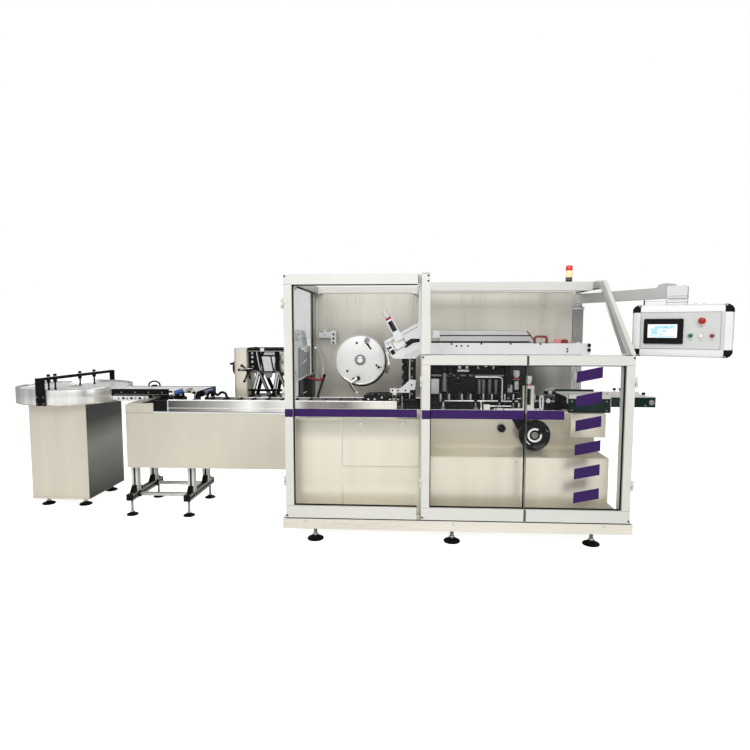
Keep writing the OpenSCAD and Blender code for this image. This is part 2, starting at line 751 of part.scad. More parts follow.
// Side rod on three posts, and a bent hold-down rod that comes out of the pusher housing
module guide_rods() color("silver") {
    low_z = track_top + 22;
    high_z = low_z + (housing_top - low_z) * 0.586;
    bend = 20;
    rail_x0 = left_bay + 148;
    rail_x1 = rail_x0 + (housing_right - housing_left) * 0.936;
    x0 = rail_x0 + (housing_right - housing_left) * 0.4;
    x1 = x0 + (housing_right - housing_left) * 0.311;
    rod_x(rail_x0, rail_x1, rod_y, low_z, rod_r);
    for (x = [rail_x0 + 10, (rail_x0 + rail_x1) / 2, rail_x1 - 15])
        rod_z(x, rod_y, bed_top, low_z, rod_r + 1);
    rod_y(x0, rod_y, housing_front, high_z, rod_r);
    rod_x(x0, x1 - bend, rod_y, high_z, rod_r);
    translate([x0, rod_y, high_z]) sphere(r = rod_r);
    translate([x1 - bend, rod_y, high_z - bend]) rotate([90, 0, 0])
        rotate_extrude(angle = 90) translate([bend, 0]) circle(r = rod_r);
    rod_z(x1, rod_y, low_z, high_z - bend, rod_r);
}

module pusher_housing() color("dimgray")
    box(housing_left, housing_right, housing_front, body_back, bed_top, housing_top);

// A height scale: slotted block, lock ring and knob, from its seat upwards
module height_scale(block_h) {
    half = scale_w / 2;
    ring_h = scale_w * 0.55;
    box(-half, half, -scale_w * 0.41, scale_w * 0.41, 0, block_h);
    rod_z(0, 0, block_h - 1, block_h + ring_h, scale_w * 0.34);
    rod_z(0, 0, block_h + ring_h - 1, block_h + scale_w * 1.41, scale_w * 0.455);
}

module height_adjusters() color("whitesmoke") {
    seat = 83;
    half_depth = scale_w * 0.41;
    inner_x = housing_right + scale_w * 1.41;
    inner_z = bed_top + (housing_top - bed_top) * 0.27;
    translate([housing_right + scale_w * 2.12, bed_front + half_depth, bed_top]) height_scale(scale_h);
    translate([inner_x, housing_front + scale_w / 2, inner_z]) height_scale(scale_h * 0.557);
    box(housing_right, inner_x - half_depth + 2, housing_front + 6, housing_front + 6 + scale_w * 0.73,
        inner_z, inner_z + scale_w * 1.14);
    translate([chute_tip_x + seat, magazine_front - half_depth, chute_tip_z + seat * tan(chute_slope)])
        rotate([0, -chute_slope, 0]) {
            height_scale(scale_h * 0.67);
            box(-scale_w * 0.68, scale_w * 0.68, -half_depth, half_depth, -scale_w * 0.91, 1);
        }
}

// Hold-down plate on the product rail, and the sensor bracket on the back panel
module bracket_plates() color("whitesmoke") {
    sensor_y = rear_y - 100;
    plate_y = bed_front + 10;
    plate_z = bed_top + 108;
    x = rail_end - 46;
    sensor_x = profile + 20;
    sensor_z = rotor_z + 157;
    plate_xz([[x, plate_z], [x + 129, plate_z], [x + 131, plate_z + 18], [x + 164, plate_z + 19],
              [x + 169, plate_z + 83], [x + 133, plate_z + 87], [x + 67, plate_z + 27], [x, plate_z + 28]],
             plate_y, plate_y + 8);
    rod_z(x + 30, plate_y + 4, rail_top, plate_z + 1, 8);
    box(sensor_x, sensor_x + 90, sensor_y, sensor_y + 36, sensor_z - 20, sensor_z + 20);
    box(sensor_x + 89, sensor_x + 129, sensor_y, sensor_y + 30, sensor_z - 69, sensor_z + 32);
    rod_y(sensor_x + 45, sensor_y + 35, rear_y + 8, sensor_z, 10);
}

// Green side plates of the discharge conveyor, with a wider box over the drive
module discharge_sides() color("darkslategray") {
    box_top = discharge_top + 16;
    for (y = [discharge_front, discharge_back - side_plate])
        box(guard_box_right - 1, discharge_end, y, y + side_plate, discharge_under, discharge_top);
    for (y = [guard_box_front, discharge_back - side_plate])
        box(guard_box_left, guard_box_right, y, y + side_plate, y > bed_front ? bed_top : drive_box_top, box_top);
    box(guard_box_right - side_plate, guard_box_right, guard_box_front, discharge_front + 1, drive_box_top, box_top);
}

// Closed belt loop round its two end rollers, on short legs
module discharge_belt() color("gray") {
    y0 = discharge_front + side_plate;
    y1 = discharge_back - side_plate;
    r = 20;
    z = discharge_top - r - 10;
    x0 = guard_box_left + r + 6;
    x1 = discharge_end - r - 6;
    box(x0, x1, y0, y1, z - r, z + r);
    for (x = [x0, x1])
        rod_y(x, y0, y1, z, r);
}

// Dished handwheel with a crank knob, on its shaft
module handwheel() color("black") {
    shaft_r = 14;
    hub_r = 34;
    translate([wheel_x, wheel_back - running_gap, wheel_z]) rotate([90, 0, 0]) {
        depth = wheel_back - wheel_front;
        rotate_extrude($fn = 72)
            polygon([[0, 0], [shaft_r, 0], [shaft_r, depth - 34], [wheel_r - 14, depth - 26], [wheel_r - 6, depth - 30],
                     [wheel_r, depth - 22], [wheel_r, depth - 8], [wheel_r - 8, depth], [wheel_r - 14, depth - 4],
                     [hub_r + 4, depth - 18], [hub_r, depth - 4], [0, depth - 4]]);
    }
}

// Support column at the rear corner, with the bearing of the swing arm on top
module panel_column() color("lightgray") {
    box(support_x0, support_x0 + support_side, rear_y, rear_y + support_side, plinth_top, support_top);
    rod_z(support_axis[0], support_axis[1], support_top - 1, bearing_top, support_side / 2);
}

// Swing arm: root bearing, beam, end cap and the head that carries the operator panel
module panel_arm() color("lightgray") {
    root_r = support_side / 2;
    arm_top = arm_z + arm_h;
    cap_start = arm_length - arm_w * 2.3;
    cap_end = arm_length - arm_w * 0.7;
    translate(support_axis) rotate([0, 0, arm_angle]) {
        rod_z(0, 0, bearing_top + running_gap, arm_top, root_r);
        box(0, arm_length, -arm_w / 2, arm_w / 2, arm_z, arm_top);
        plate_xz([[cap_start, arm_top - 1], [cap_start + 12, arm_top + 18], [cap_start + 40, arm_top + 24],
                  [cap_end - 40, arm_top + 24], [cap_end, arm_top - 1]], -arm_w / 2, arm_w / 2);
    }
    at_panel() box(-head_left, head_right, -panel_d * 0.43, panel_d * 0.43, head_under, arm_top);
}

// Everything on the operator panel is drawn with its pivot at x = 0, y = 0 and its face towards -y
module at_panel() translate(panel_axis) rotate([0, 0, -panel_turn]) children();

module panel_enclosure() color("gainsboro") at_panel() {
    corner_r = 26;
    translate([0, panel_d / 2, panel_bottom + panel_h / 2]) rotate([90, 0, 0])
        linear_extrude(panel_d) rounded_rectangle(panel_w, panel_h, corner_r);
    box(-head_left, head_right, -panel_d * 0.3, panel_d * 0.3, panel_top - 1, head_under - running_gap);
}

module panel_screen() color("black") at_panel() {
    w = 212;
    h = 150;
    x = -0.375 * panel_w;
    z = panel_bottom + 78;
    box(x, x + w, -panel_d / 2 - 9, -panel_d / 2, z, z + h);
}

module panel_buttons() color("firebrick") at_panel() {
    row_z = panel_bottom + 128;
    place_x = [0.096, 0.196, 0.301];
    for (i = [0:2])
        rod_y(place_x[i] * panel_w, -panel_d / 2 - 16, -panel_d / 2, row_z, 15);
    rod_y(place_x[1] * panel_w + 3, -panel_d / 2 - 12, -panel_d / 2, row_z + 87, 11);
    rod_y(place_x[1] * panel_w + 3, -panel_d / 2 - 30, -panel_d / 2 - 11, row_z + 87, 20);
}

module signal_lamp() color("orange") {
    base_h = lamp_h * 0.26;
    x = guard_length - 206;
    y = top_setback + profile / 2;
    rod_z(x, y, guard_height, guard_height + base_h, lamp_r);
    rod_z(x, y, guard_height + base_h - 1, guard_height + lamp_h, lamp_r - 1);
}

module in_row_frame() translate([-origin[0], -origin[1], 0]) children();

in_row_frame() base_plinth();
in_row_frame() levelling_feet();
in_row_frame() machine_body();
in_row_frame() drive_box();
in_row_frame() inspection_cover();
in_row_frame() bed_plate();
in_row_frame() guard_posts();
in_row_frame() guard_long_rails();
in_row_frame() guard_deep_rails();
in_row_frame() slanted_post();
in_row_frame() side_glass();
in_row_frame() back_panel();
in_row_frame() door_hinges();
in_row_frame() left_door_frame();
in_row_frame() left_door_glass();
in_row_frame() middle_door_frame();
in_row_frame() middle_door_glass();
in_row_frame() right_door_frame();
in_row_frame() right_door_glass();
in_row_frame() infeed_body();
in_row_frame() product_rails();
in_row_frame() product_belt();
in_row_frame() product_flights();
in_row_frame() stand_columns();
in_row_frame() stand_beams();
in_row_frame() turntable_pedestal();
in_row_frame() turntable_ring();
in_row_frame() turntable_disc();
in_row_frame() turntable_guide();
in_row_frame() transfer_sides();
in_row_frame() transfer_belt();
in_row_frame() leaflet_cabinet();
in_row_frame() leaflet_frame();
in_row_frame() leaflet_rollers();
in_row_frame() rotor_bearing();
in_row_frame() carton_rotor();
in_row_frame() magazine_sides();
in_row_frame() magazine_deck();
in_row_frame() carton_guides();
in_row_frame() carton_track();
in_row_frame() carton_lugs();
in_row_frame() guide_rods();
in_row_frame() pusher_housing();
in_row_frame() height_adjusters();
in_row_frame() bracket_plates();
in_row_frame() discharge_sides();
in_row_frame() discharge_belt();
in_row_frame() handwheel();
in_row_frame() panel_column();
in_row_frame() panel_arm();
in_row_frame() panel_enclosure();
in_row_frame() panel_screen();
in_row_frame() panel_buttons();
in_row_frame() signal_lamp();
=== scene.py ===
# %% [markdown]
# # Automatic cartoner
# A cartoner opens flat cartons, drops goods and a folded leaflet in them and shuts them. This lesson
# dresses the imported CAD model: light and camera first, then the finishes, then the small pieces a maker
# would bolt on, region by region. Sizes below are machine millimetres: X to the right from the guard's left
# edge, Y to the back from the doors' front face, Z up from the floor.

# %% Load the model and find the machine's own corner
import bpy, bmesh, math
from mathutils import Matrix, Vector


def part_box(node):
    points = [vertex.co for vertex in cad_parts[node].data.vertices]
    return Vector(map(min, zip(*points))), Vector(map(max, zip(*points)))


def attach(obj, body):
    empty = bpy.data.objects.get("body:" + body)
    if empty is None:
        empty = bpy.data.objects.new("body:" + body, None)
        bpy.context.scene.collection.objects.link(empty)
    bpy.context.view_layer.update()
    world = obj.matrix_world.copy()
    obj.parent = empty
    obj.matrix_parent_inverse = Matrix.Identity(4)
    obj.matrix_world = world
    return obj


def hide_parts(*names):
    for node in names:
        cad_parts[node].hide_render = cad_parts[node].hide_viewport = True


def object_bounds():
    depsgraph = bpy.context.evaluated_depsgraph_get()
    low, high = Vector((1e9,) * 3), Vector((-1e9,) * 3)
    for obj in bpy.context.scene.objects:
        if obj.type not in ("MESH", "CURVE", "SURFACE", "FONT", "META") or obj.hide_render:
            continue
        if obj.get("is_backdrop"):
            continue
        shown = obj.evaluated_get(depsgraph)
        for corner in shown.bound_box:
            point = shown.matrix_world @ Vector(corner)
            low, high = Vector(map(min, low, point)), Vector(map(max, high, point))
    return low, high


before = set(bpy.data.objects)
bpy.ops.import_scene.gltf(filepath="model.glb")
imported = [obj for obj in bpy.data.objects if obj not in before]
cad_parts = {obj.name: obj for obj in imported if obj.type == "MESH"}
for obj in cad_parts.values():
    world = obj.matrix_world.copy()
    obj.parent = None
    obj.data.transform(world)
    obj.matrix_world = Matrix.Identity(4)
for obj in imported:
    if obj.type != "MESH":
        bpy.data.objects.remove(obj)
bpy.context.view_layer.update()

PLINTH_CORNER = (-17, 5, 85)
plinth_low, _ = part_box("base_plinth")
ORIGIN = plinth_low - Vector(PLINTH_CORNER) / 1000


def at(x, y, z):
    """A machine point in millimetres as a point of the row frame in metres."""
    return ORIGIN + Vector((x, y, z)) / 1000


print("corner", [round(c, 4) for c in ORIGIN], "nodes", len(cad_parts))

# %% [markdown]
# ## Camera
# The picture was taken from in front of the left bay, a bit above the low doors, with a wide lens. The
# uprights are nearly parallel, so the camera was hardly tilted and two small angles are enough.

# %% Camera
scene = bpy.context.scene
lens = bpy.data.cameras.new("camera")
lens.lens, lens.sensor_width = 26.735, 36
camera = bpy.data.objects.new("camera", lens)
TILT, TURN = 4.854, 3.177
camera.location = at(718.37, -3228.02, 1289.88)
camera.rotation_euler = (math.radians(90 - TILT), 0, math.radians(TURN))
scene.collection.objects.link(camera)
scene.camera = camera
lens.clip_end = 200
print("camera at", [round(c, 3) for c in camera.location])

# %% [markdown]
# ## Shader sums
# A finish is mostly arithmetic on patterns. This small class wraps one node socket, so that `1 - grain *
# 0.2` adds the Math nodes itself and any other node comes from `make`.

# %% One class for node sums
class Wire:
    """A socket of a node tree; + - * with numbers or other wires add Math nodes."""

    def __init__(self, tree, socket=None):
        self.tree, self.socket = tree, socket

    def make(self, kind, settings=None, inputs=None, output=0):
        """Any node: its settings first, then its sockets, which take a wire or a plain value."""
        node = self.tree.nodes.new("ShaderNode" + kind)
        for name, value in (settings or {}).items():
            if name == "stops":
                ramp = node.color_ramp.elements
                while len(ramp) < len(value):
                    ramp.new(0.5)
                for stop, (place, colour) in zip(ramp, value):
                    stop.position, stop.color = place, colour
            else:
                setattr(node, name, value)
        for name, value in (inputs or {}).items():
            if isinstance(value, Wire):
                self.tree.links.new(value.socket, node.inputs[name])
            else:
                node.inputs[name].default_value = value
        return Wire(self.tree, node.outputs[output])

    def sum(self, operation, a, b=0.0):
        return self.make("Math", {"operation": operation}, {0: a, 1: b})

    def __add__(self, other): return self.sum("ADD", self, other)
    def __radd__(self, other): return self.sum("ADD", other, self)
    def __sub__(self, other): return self.sum("SUBTRACT", self, other)
    def __rsub__(self, other): return self.sum("SUBTRACT", other, self)
    def __mul__(self, other): return self.sum("MULTIPLY", self, other)
    def __rmul__(self, other): return self.sum("MULTIPLY", other, self)

    def part(self, axis):
        """The X, Y or Z of a vector."""
        return self.make("SeparateXYZ", {}, {0: self}, "XYZ".index(axis))

    def stretch(self, x, y, z):
        return self.make("VectorMath", {"operation": "MULTIPLY"}, {0: self, 1: (x, y, z)})

    def noise(self, scale, detail=3.0, rough=0.5):
        return self.make("TexNoise", {}, {"Vector": self, "Scale": scale, "Detail": detail,
                                          "Roughness": rough})

    def blend(self, low, high):
        """Two colours mixed by this wire."""
        return self.make("Mix", {"data_type": "RGBA", "clamp_factor": True}, {0: self, 6: low, 7: high},
                         2)

    def band(self, low, high):
        """Maps low..high to 0..1, clamped."""
        return self.make("MapRange", {}, {0: self, 1: low, 2: high})

    def bump(self, strength, distance):
        return self.make("Bump", {}, {"Height": self, "Strength": strength, "Distance": distance})


FINISH = {}


def finish(name, build, **constants):
    """A material: constants go straight on the shader, build(place, wire) returns what varies."""
    material = bpy.data.materials.new(name)
    material.use_nodes = True
    tree = material.node_tree
    shader = tree.nodes["Principled BSDF"]
    for socket, value in constants.items():
        shader.inputs[socket.replace("_", " ")].default_value = value
    wire = Wire(tree)
    place = wire.make("TexCoord", {}, {}, "Object")
    for socket, value in build(place, wire).items():
        tree.links.new(value.socket, shader.inputs[socket])
    FINISH[name] = material


def tint(colour, factor):
    return tuple(min(1.0, c * factor) for c in colour[:3]) + (1.0,)


print("shader class ready")

# %% [markdown]
# ## Floor and light
# A big machine is photographed on a pale seamless floor under wide soft boxes. The floor keeps the contact
# shadow; the background is white because the world is white to the camera, while it lights the metal at a
# calmer level, so that sheets keep their light and dark sides.

# %% Floor, world and soft boxes
def floor_look(place, wire):
    cloud = place.noise(0.6, 4)
    seen = wire.make("LightPath", {}, {}, "Is Camera Ray")
    return {"Base Color": cloud.blend((0.93, 0.93, 0.925, 1), (0.96, 0.96, 0.955, 1)),
            "Roughness": cloud * 0.2 + 0.6, "Emission Color": seen.blend((0, 0, 0, 1),
                                                                         (0.80, 0.80, 0.80, 1))}


finish("floor", floor_look, Emission_Strength=1.0, Specular_IOR_Level=0.1)
shape = bpy.data.meshes.new("floor")
shape.from_pydata([(-60, -60, 0), (60, -60, 0), (60, 60, 0), (-60, 60, 0)], [], [(0, 1, 2, 3)])
floor = bpy.data.objects.new("floor", shape)
shape.materials.append(FINISH["floor"])
scene.collection.objects.link(floor)
floor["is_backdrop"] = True

world = bpy.data.worlds.new("studio")
world.use_nodes = True
scene.world = world
sky = world.node_tree
sky.nodes.clear()
air = Wire(sky)
CALM = 0.33
to_camera = air.make("LightPath")
through = air.make("LightPath", {}, {}, "Is Transmission Ray")
white = air.sum("MAXIMUM", to_camera, through)
dome = air.make("Background", {}, {"Color": (1, 1, 1, 1), "Strength": white * (1 - CALM) + CALM})
sky.links.new(dome.socket, sky.nodes.new("ShaderNodeOutputWorld").inputs["Surface"])


def soft_box(name, place, target, wide, tall, watts, colour=(1, 1, 1)):
    lamp = bpy.data.lights.new(name, "AREA")
    lamp.shape, lamp.size, lamp.size_y, lamp.energy, lamp.color = "RECTANGLE", wide, tall, watts, colour
    thing = bpy.data.objects.new(name, lamp)
    thing.location = place
    thing.rotation_euler = (target - place).to_track_quat("-Z", "Y").to_euler()
    scene.collection.objects.link(thing)
    thing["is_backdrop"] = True


soft_box("key", at(200, -5600, 4300), at(200, 300, 500), 7.0, 2.4, 283)
soft_box("low_front", at(-200, -5200, 1250), at(-200, 300, 400), 7.0, 2.4, 24)
soft_box("fill", at(4600, -3200, 2200), at(1500, 400, 900), 2.0, 2.0, 12)
soft_box("top", at(300, 500, 4400), at(300, 600, 0), 4.5, 1.8, 60)
soft_box("rear", at(300, 4600, 3000), at(300, 800, 800), 4.0, 2.4, 60)
scene.view_settings.view_transform = "Standard"

# %% [markdown]
# ## Finishes
# Most of the machine is brushed stainless sheet: fine hairlines along one direction, and a slow cloudy
# change where the sheet was wiped or leans a little. Painted and moulded parts have an even colour with a
# fine skin. Each finish is a pattern in real metres, so the grain is the same size on a cover and on a
# screw.

# %% Brushed and polished metal
UPRIGHT = (500, 500, 7)


def hairlines(place, grain=UPRIGHT, streak=(9, 9, 0.5)):
    """Fine hairlines, slow streaks and the tone they make together."""
    hair = place.stretch(*grain).noise(1.0, 2.0)
    slow = place.stretch(*streak).noise(1.0, 3.0)
    return hair, slow, (slow * 0.8 + hair * 0.2).band(0.32, 0.68)


def metal_skin(colour, hair, rough):
    return {"Base Color": colour, "Roughness": rough, "Normal": hair.bump(0.06, 0.0004)}


def brushed(name, colour, rough, grain=UPRIGHT, streak=(9, 9, 0.5), depth=0.10, metal=0.75, **more):
    """Hairlines stretched along one axis over slow streaks; depth is how far the streaks change the tone."""
    def build(place, wire):
        hair, slow, tone = hairlines(place, grain, streak)
        colours = tone.blend(tint(colour, 1 - depth), tint(colour, 1 + depth * 0.7))
        return metal_skin(colours, hair, hair * 0.10 + slow * 0.10 + (rough - 0.10))
    finish(name, build, Metallic=metal, **more)


brushed("stainless", (0.80, 0.755, 0.63), 0.32, depth=0.07, metal=0.6)
SHEET_TONES = (0.744, 0.702, 0.586, 1), (0.84, 0.793, 0.66, 1)


def body_look(place, wire):
    """The cover sheets: hairlines, upright streaks and a band of painted shade under the bed on the
    discharge side.
    """
    hair, slow, tone = hairlines(place)
    shade = place.part("Z").band(0.49, 0.54) * place.part("X").band(0.45, 0.62)
    colour = shade.blend(tone.blend(*SHEET_TONES), (0.56, 0.525, 0.43, 1))
    return metal_skin(colour, hair, hair * 0.10 + slow * 0.10 + 0.22)


def backdrop_look(place, wire):
    """The rear sheet: hairlines and upright streaks, with painted shade low down behind the pushers that
    grows lighter to the right.
    """
    hair, slow, tone = hairlines(place, UPRIGHT, (5, 5, 0.12))
    # Painted shade: the mask covers the sheet low down behind the pushers; its colour is near black on the
    # left and lighter further right.
    painted_shade_mask = place.part("X").band(0.58, 0.62) * (1 - place.part("Z").band(1.06, 1.14))
    painted_shade_mask = painted_shade_mask * (1 - place.part("Y").band(0.4069, 0.4079))
    painted_shade_ramp = place.part("X").band(1.36, 1.55).blend((0.035, 0.036, 0.033, 1), (0.52, 0.51, 0.465, 1))
    low = place.part("X").band(1.59, 1.64).blend(painted_shade_ramp, (0.37, 0.36, 0.325, 1))
    sheet = tone.blend((0.60, 0.575, 0.51, 1), (0.74, 0.71, 0.63, 1))
    return metal_skin(painted_shade_mask.blend(sheet, low), hair, hair * 0.10 + slow * 0.10 + 0.20)


def shaded_look(place, wire):
    """A sheet turned away from the light, with painted shade: dark at the top, and a soft pale band of
    painted light half way down.
    """
    hair = place.stretch(*UPRIGHT).noise(1.0, 2.0)
    height = place.part("Z") + place.stretch(3, 3, 3).noise(1.0, 2.0) * 0.06
    pale = height.band(0.10, 0.46) * (1 - height.band(0.50, 0.66))
    colour = pale.blend((0.055, 0.055, 0.050, 1), (0.27, 0.268, 0.245, 1))
    return metal_skin(colour, hair, hair * 0.10 + 0.34)


def cover_look(place, wire):
    """The low covers in the left bay: painted shade under the bed, and painted light low down behind the
    bottom rail of the door.
    """
    hair, slow, tone = hairlines(place)
    painted_shade_top = place.part("Z").band(0.60, 0.66).blend(tone.blend(*SHEET_TONES), (0.58, 0.55, 0.465, 1))
    colour = place.part("Z").band(0.23, 0.34).blend((1.0, 0.95, 0.81, 1), painted_shade_top)
    return metal_skin(colour, hair, hair * 0.10 + slow * 0.10 + 0.22)


def rail_look(place, wire):
    """A polished rail with painted reflections: soft light and dark stretches along its length."""
    hair = place.stretch(5, 500, 500).noise(1.0, 2.0)
    # Painted reflections: light and dark tones set along the rail's length.
    along = place.part("X").band(-1.12, 0.42)
    stops = [(0.0, 0.06), (0.15, 0.30), (0.27, 0.55), (0.355, 1.0), (0.43, 0.60), (0.53, 1.0),
             (0.60, 0.43), (0.775, 0.22), (0.90, 0.98)]
    bands = wire.make("ValToRGB", {"stops": [(x, tint((1, 0.99, 0.95), v)) for x, v in stops]},
                      {0: along})
    return metal_skin((hair * 0.16).blend(bands, (0.30, 0.295, 0.28, 1)), hair, hair * 0.10 + 0.16)


def column_look(place, wire):
    """A coated column with painted shade, darker above the magazine, and painted light, paler below it where
    the low doors let light in.
    """
    cloud = place.stretch(9, 9, 0.6).noise(1.0, 3.0)
    low = 1 - place.part("Z").band(1.06, 1.16)
    coat = cloud.blend((0.27, 0.27, 0.257, 1), (0.33, 0.33, 0.314, 1))
    return {"Base Color": low.blend(coat, (0.62, 0.62, 0.61, 1)), "Roughness": cloud * 0.1 + 0.35}


finish("body_steel_painted_shade", body_look, Metallic=0.6)
finish("column_painted_light_and_shade", column_look, Metallic=0.3)
finish("backdrop_steel_painted_shade", backdrop_look, Metallic=0.6)
finish("painted_shade_steel", shaded_look, Metallic=0.5)
finish("cover_steel_painted_shade", cover_look, Metallic=0.6)
finish("rail_steel_painted_reflections", rail_look, Metallic=0.5)
brushed("infeed_steel", (0.69, 0.648, 0.54), 0.32, streak=(2.4, 2.4, 0.9), depth=0.13, metal=0.6)
brushed("plinth_steel", (0.83, 0.79, 0.69), 0.30, grain=(7, 500, 500), streak=(0.9, 9, 9), depth=0.12,
        metal=0.45)
brushed("polished_steel", (0.80, 0.80, 0.79), 0.16, grain=(6, 400, 400), streak=(2, 14, 14), depth=0.10,
        metal=0.95)
brushed("disc_steel", (0.94, 0.94, 0.935), 0.24, grain=(300, 300, 300), streak=(5, 5, 5), depth=0.05,
        metal=0.15)
brushed("guide_steel", (0.60, 0.60, 0.59), 0.24, grain=(5, 400, 400), streak=(1.5, 30, 30), depth=0.14,
        metal=0.4)
brushed("ring_steel", (0.86, 0.84, 0.78), 0.20, streak=(11, 11, 0.2), depth=0.36, metal=0.7)
brushed("frame_aluminium", (0.70, 0.693, 0.65), 0.42, grain=(300, 300, 300), streak=(2, 2, 2), depth=0.04,
        metal=0.15)
brushed("profile_grey", (0.40, 0.40, 0.385), 0.42, grain=(200, 200, 200), streak=(6, 6, 6), depth=0.08,
        metal=0.2)
brushed("arm_grey", (0.68, 0.675, 0.66), 0.38, grain=(200, 200, 200), streak=(3, 3, 3), depth=0.06,
        metal=0.25)
brushed("hub_grey", (0.22, 0.22, 0.215), 0.36, grain=(300, 300, 300), streak=(9, 9, 9), depth=0.12,
        metal=0.4)
brushed("dull_steel", (0.34, 0.335, 0.32), 0.36, grain=(60, 400, 400), streak=(4, 9, 9), depth=0.25,
        metal=0.9)
print("metals", len(FINISH))

# %% Paint, moulded plastic, rubber and clear sheet
def painted(name, colour, rough, speck=60, depth=0.06, skin=0.10, **more):
    """An even coat: a faint cloud, a fine skin and a little dust in the tone."""
    def build(place, wire):
        cloud = place.noise(4.0, 4.0)
        fleck = place.noise(speck * 10, 2.0)
        tone = (cloud * 0.7 + fleck * 0.3).band(0.3, 0.7)
        return {"Base Color": tone.blend(tint(colour, 1 - depth), tint(colour, 1 + depth)),
                "Roughness": cloud * 0.12 + fleck * 0.06 + (rough - 0.09),
                "Normal": fleck.bump(skin, 0.0003)}
    finish(name, build, **more)


painted("rotor_grey", (0.74, 0.745, 0.73), 0.40, Metallic=0.1)
painted("white_plate", (0.74, 0.755, 0.76), 0.38)
painted("roller_white", (0.80, 0.79, 0.75), 0.45)
painted("green_enamel", (0.003, 0.018, 0.012), 0.30, depth=0.15, Specular_IOR_Level=0.15)
painted("panel_face", (0.62, 0.63, 0.62), 0.42, depth=0.03)
painted("panel_white", (0.80, 0.81, 0.81), 0.36, depth=0.03)
painted("black_plastic", (0.006, 0.006, 0.0065), 0.36, depth=0.3, Specular_IOR_Level=0.10)
painted("black_steel", (0.006, 0.006, 0.0065), 0.40, depth=0.35, Specular_IOR_Level=0.08)
painted("dark_housing", (0.008, 0.0085, 0.0078), 0.42, depth=0.35, Specular_IOR_Level=0.07)
painted("rubber", (0.006, 0.006, 0.006), 0.62, depth=0.3, skin=0.3, Specular_IOR_Level=0.12)
painted("belt_rubber", (0.045, 0.046, 0.045), 0.55, depth=0.25, skin=0.3)
painted("belt_grey", (0.25, 0.255, 0.25), 0.5, depth=0.12, skin=0.3)
painted("bellows_grey", (0.085, 0.085, 0.072), 0.45, depth=0.2, skin=0.2)
painted("screen_black", (0.004, 0.004, 0.0045), 0.20, depth=0.2, skin=0.02, Specular_IOR_Level=0.15)
painted("red_plastic", (0.38, 0.012, 0.016), 0.30, depth=0.12, Specular_IOR_Level=0.3)
painted("maroon_plastic", (0.20, 0.016, 0.020), 0.32, depth=0.12)
painted("pink_plastic", (0.62, 0.20, 0.19), 0.35, depth=0.1)
painted("green_plastic", (0.008, 0.13, 0.055), 0.30, depth=0.1, Specular_IOR_Level=0.3)
painted("cream_plastic", (0.80, 0.775, 0.68), 0.36, depth=0.05)
painted("blue_plastic", (0.045, 0.13, 0.36), 0.35, depth=0.1)
painted("purple_film", (0.040, 0.015, 0.100), 0.36, depth=0.08, skin=0.02, Specular_IOR_Level=0.10)


def see_through(name, stretch, noise, low, high, rough, alpha, **more):
    """Clear sheet or tube: rough and alpha are the slope and the start over a smear of grease."""
    def build(place, wire):
        smear = place.stretch(*stretch).noise(*noise)
        return {"Base Color": smear.blend(low + (1,), high + (1,)),
                "Roughness": smear * rough[0] + rough[1], "Alpha": smear * alpha[0] + alpha[1]}
    finish(name, build, **more)


SMEAR, RIPPLE = (3, 3, 1.2), (9, 9, 2)
see_through("clear_sheet", SMEAR, (1.0, 4.0), (0.62, 0.66, 0.66), (0.74, 0.77, 0.77), (0.08, 0.02),
            (0.010, 0.002), IOR=1.49)
see_through("tinted_sheet", SMEAR, (1.0, 4.0), (0.56, 0.63, 0.65), (0.66, 0.73, 0.75), (0.08, 0.05),
            (0.15, 0.27), IOR=1.49)
see_through("clear_tube", (1, 1, 1), (90.0, 2.0), (0.72, 0.76, 0.78), (0.86, 0.90, 0.92), (0.1, 0.12),
            (0.15, 0.45))
see_through("clear_edge", RIPPLE, (1.0, 3.0), (0.06, 0.065, 0.065), (0.16, 0.17, 0.17), (0.1, 0.15),
            (0.4, 0.25))


def lug_look(place, wire):
    """Carton lugs: white sleeves in the front row, dark pins in the rear row."""
    cloud = place.noise(40.0, 2.0)
    white = cloud.blend((0.70, 0.715, 0.72, 1), (0.78, 0.795, 0.80, 1))
    return {"Base Color": place.part("Y").band(-0.075, -0.065).blend(white, (0.05, 0.05, 0.048, 1)),
            "Roughness": cloud * 0.1 + 0.33}


finish("lug_white", lug_look)


RIDGES = 900


def lamp_look(place, wire, low, high):
    """A moulded lens with fine rings."""
    rings = wire.sum("SINE", place.part("Z") * RIDGES)
    return {"Base Color": (rings * 0.5 + 0.5).blend(low, high), "Roughness": rings * 0.04 + 0.16}


finish("lens_red", lambda p, w: lamp_look(p, w, (0.62, 0.03, 0.02, 1), (0.80, 0.07, 0.04, 1)),
       Emission_Color=(0.75, 0.06, 0.03, 1), Emission_Strength=0.12)
finish("lens_amber", lambda p, w: lamp_look(p, w, (0.86, 0.62, 0.30, 1), (0.94, 0.78, 0.48, 1)),
       Emission_Color=(0.95, 0.80, 0.50, 1), Emission_Strength=0.25)
print("finishes", len(FINISH))

# %% [markdown]
# ## Dress the CAD parts
# Each CAD part keeps its own mesh. It takes one finish and a small bevel, because no folded sheet or sawn
# profile has a razor edge, and a soft edge is what catches the light.

# %% One finish and one edge for every CAD part
WELD, CORNER = 0.00002, math.radians(40)


def soft_edge(thing, width, segments=2):
    weld = thing.modifiers.new("weld", "WELD")
    weld.merge_threshold = WELD
    bevel = thing.modifiers.new("edge", "BEVEL")
    bevel.width, bevel.segments, bevel.limit_method = width, segments, "ANGLE"
    bevel.angle_limit, bevel.harden_normals = CORNER, False


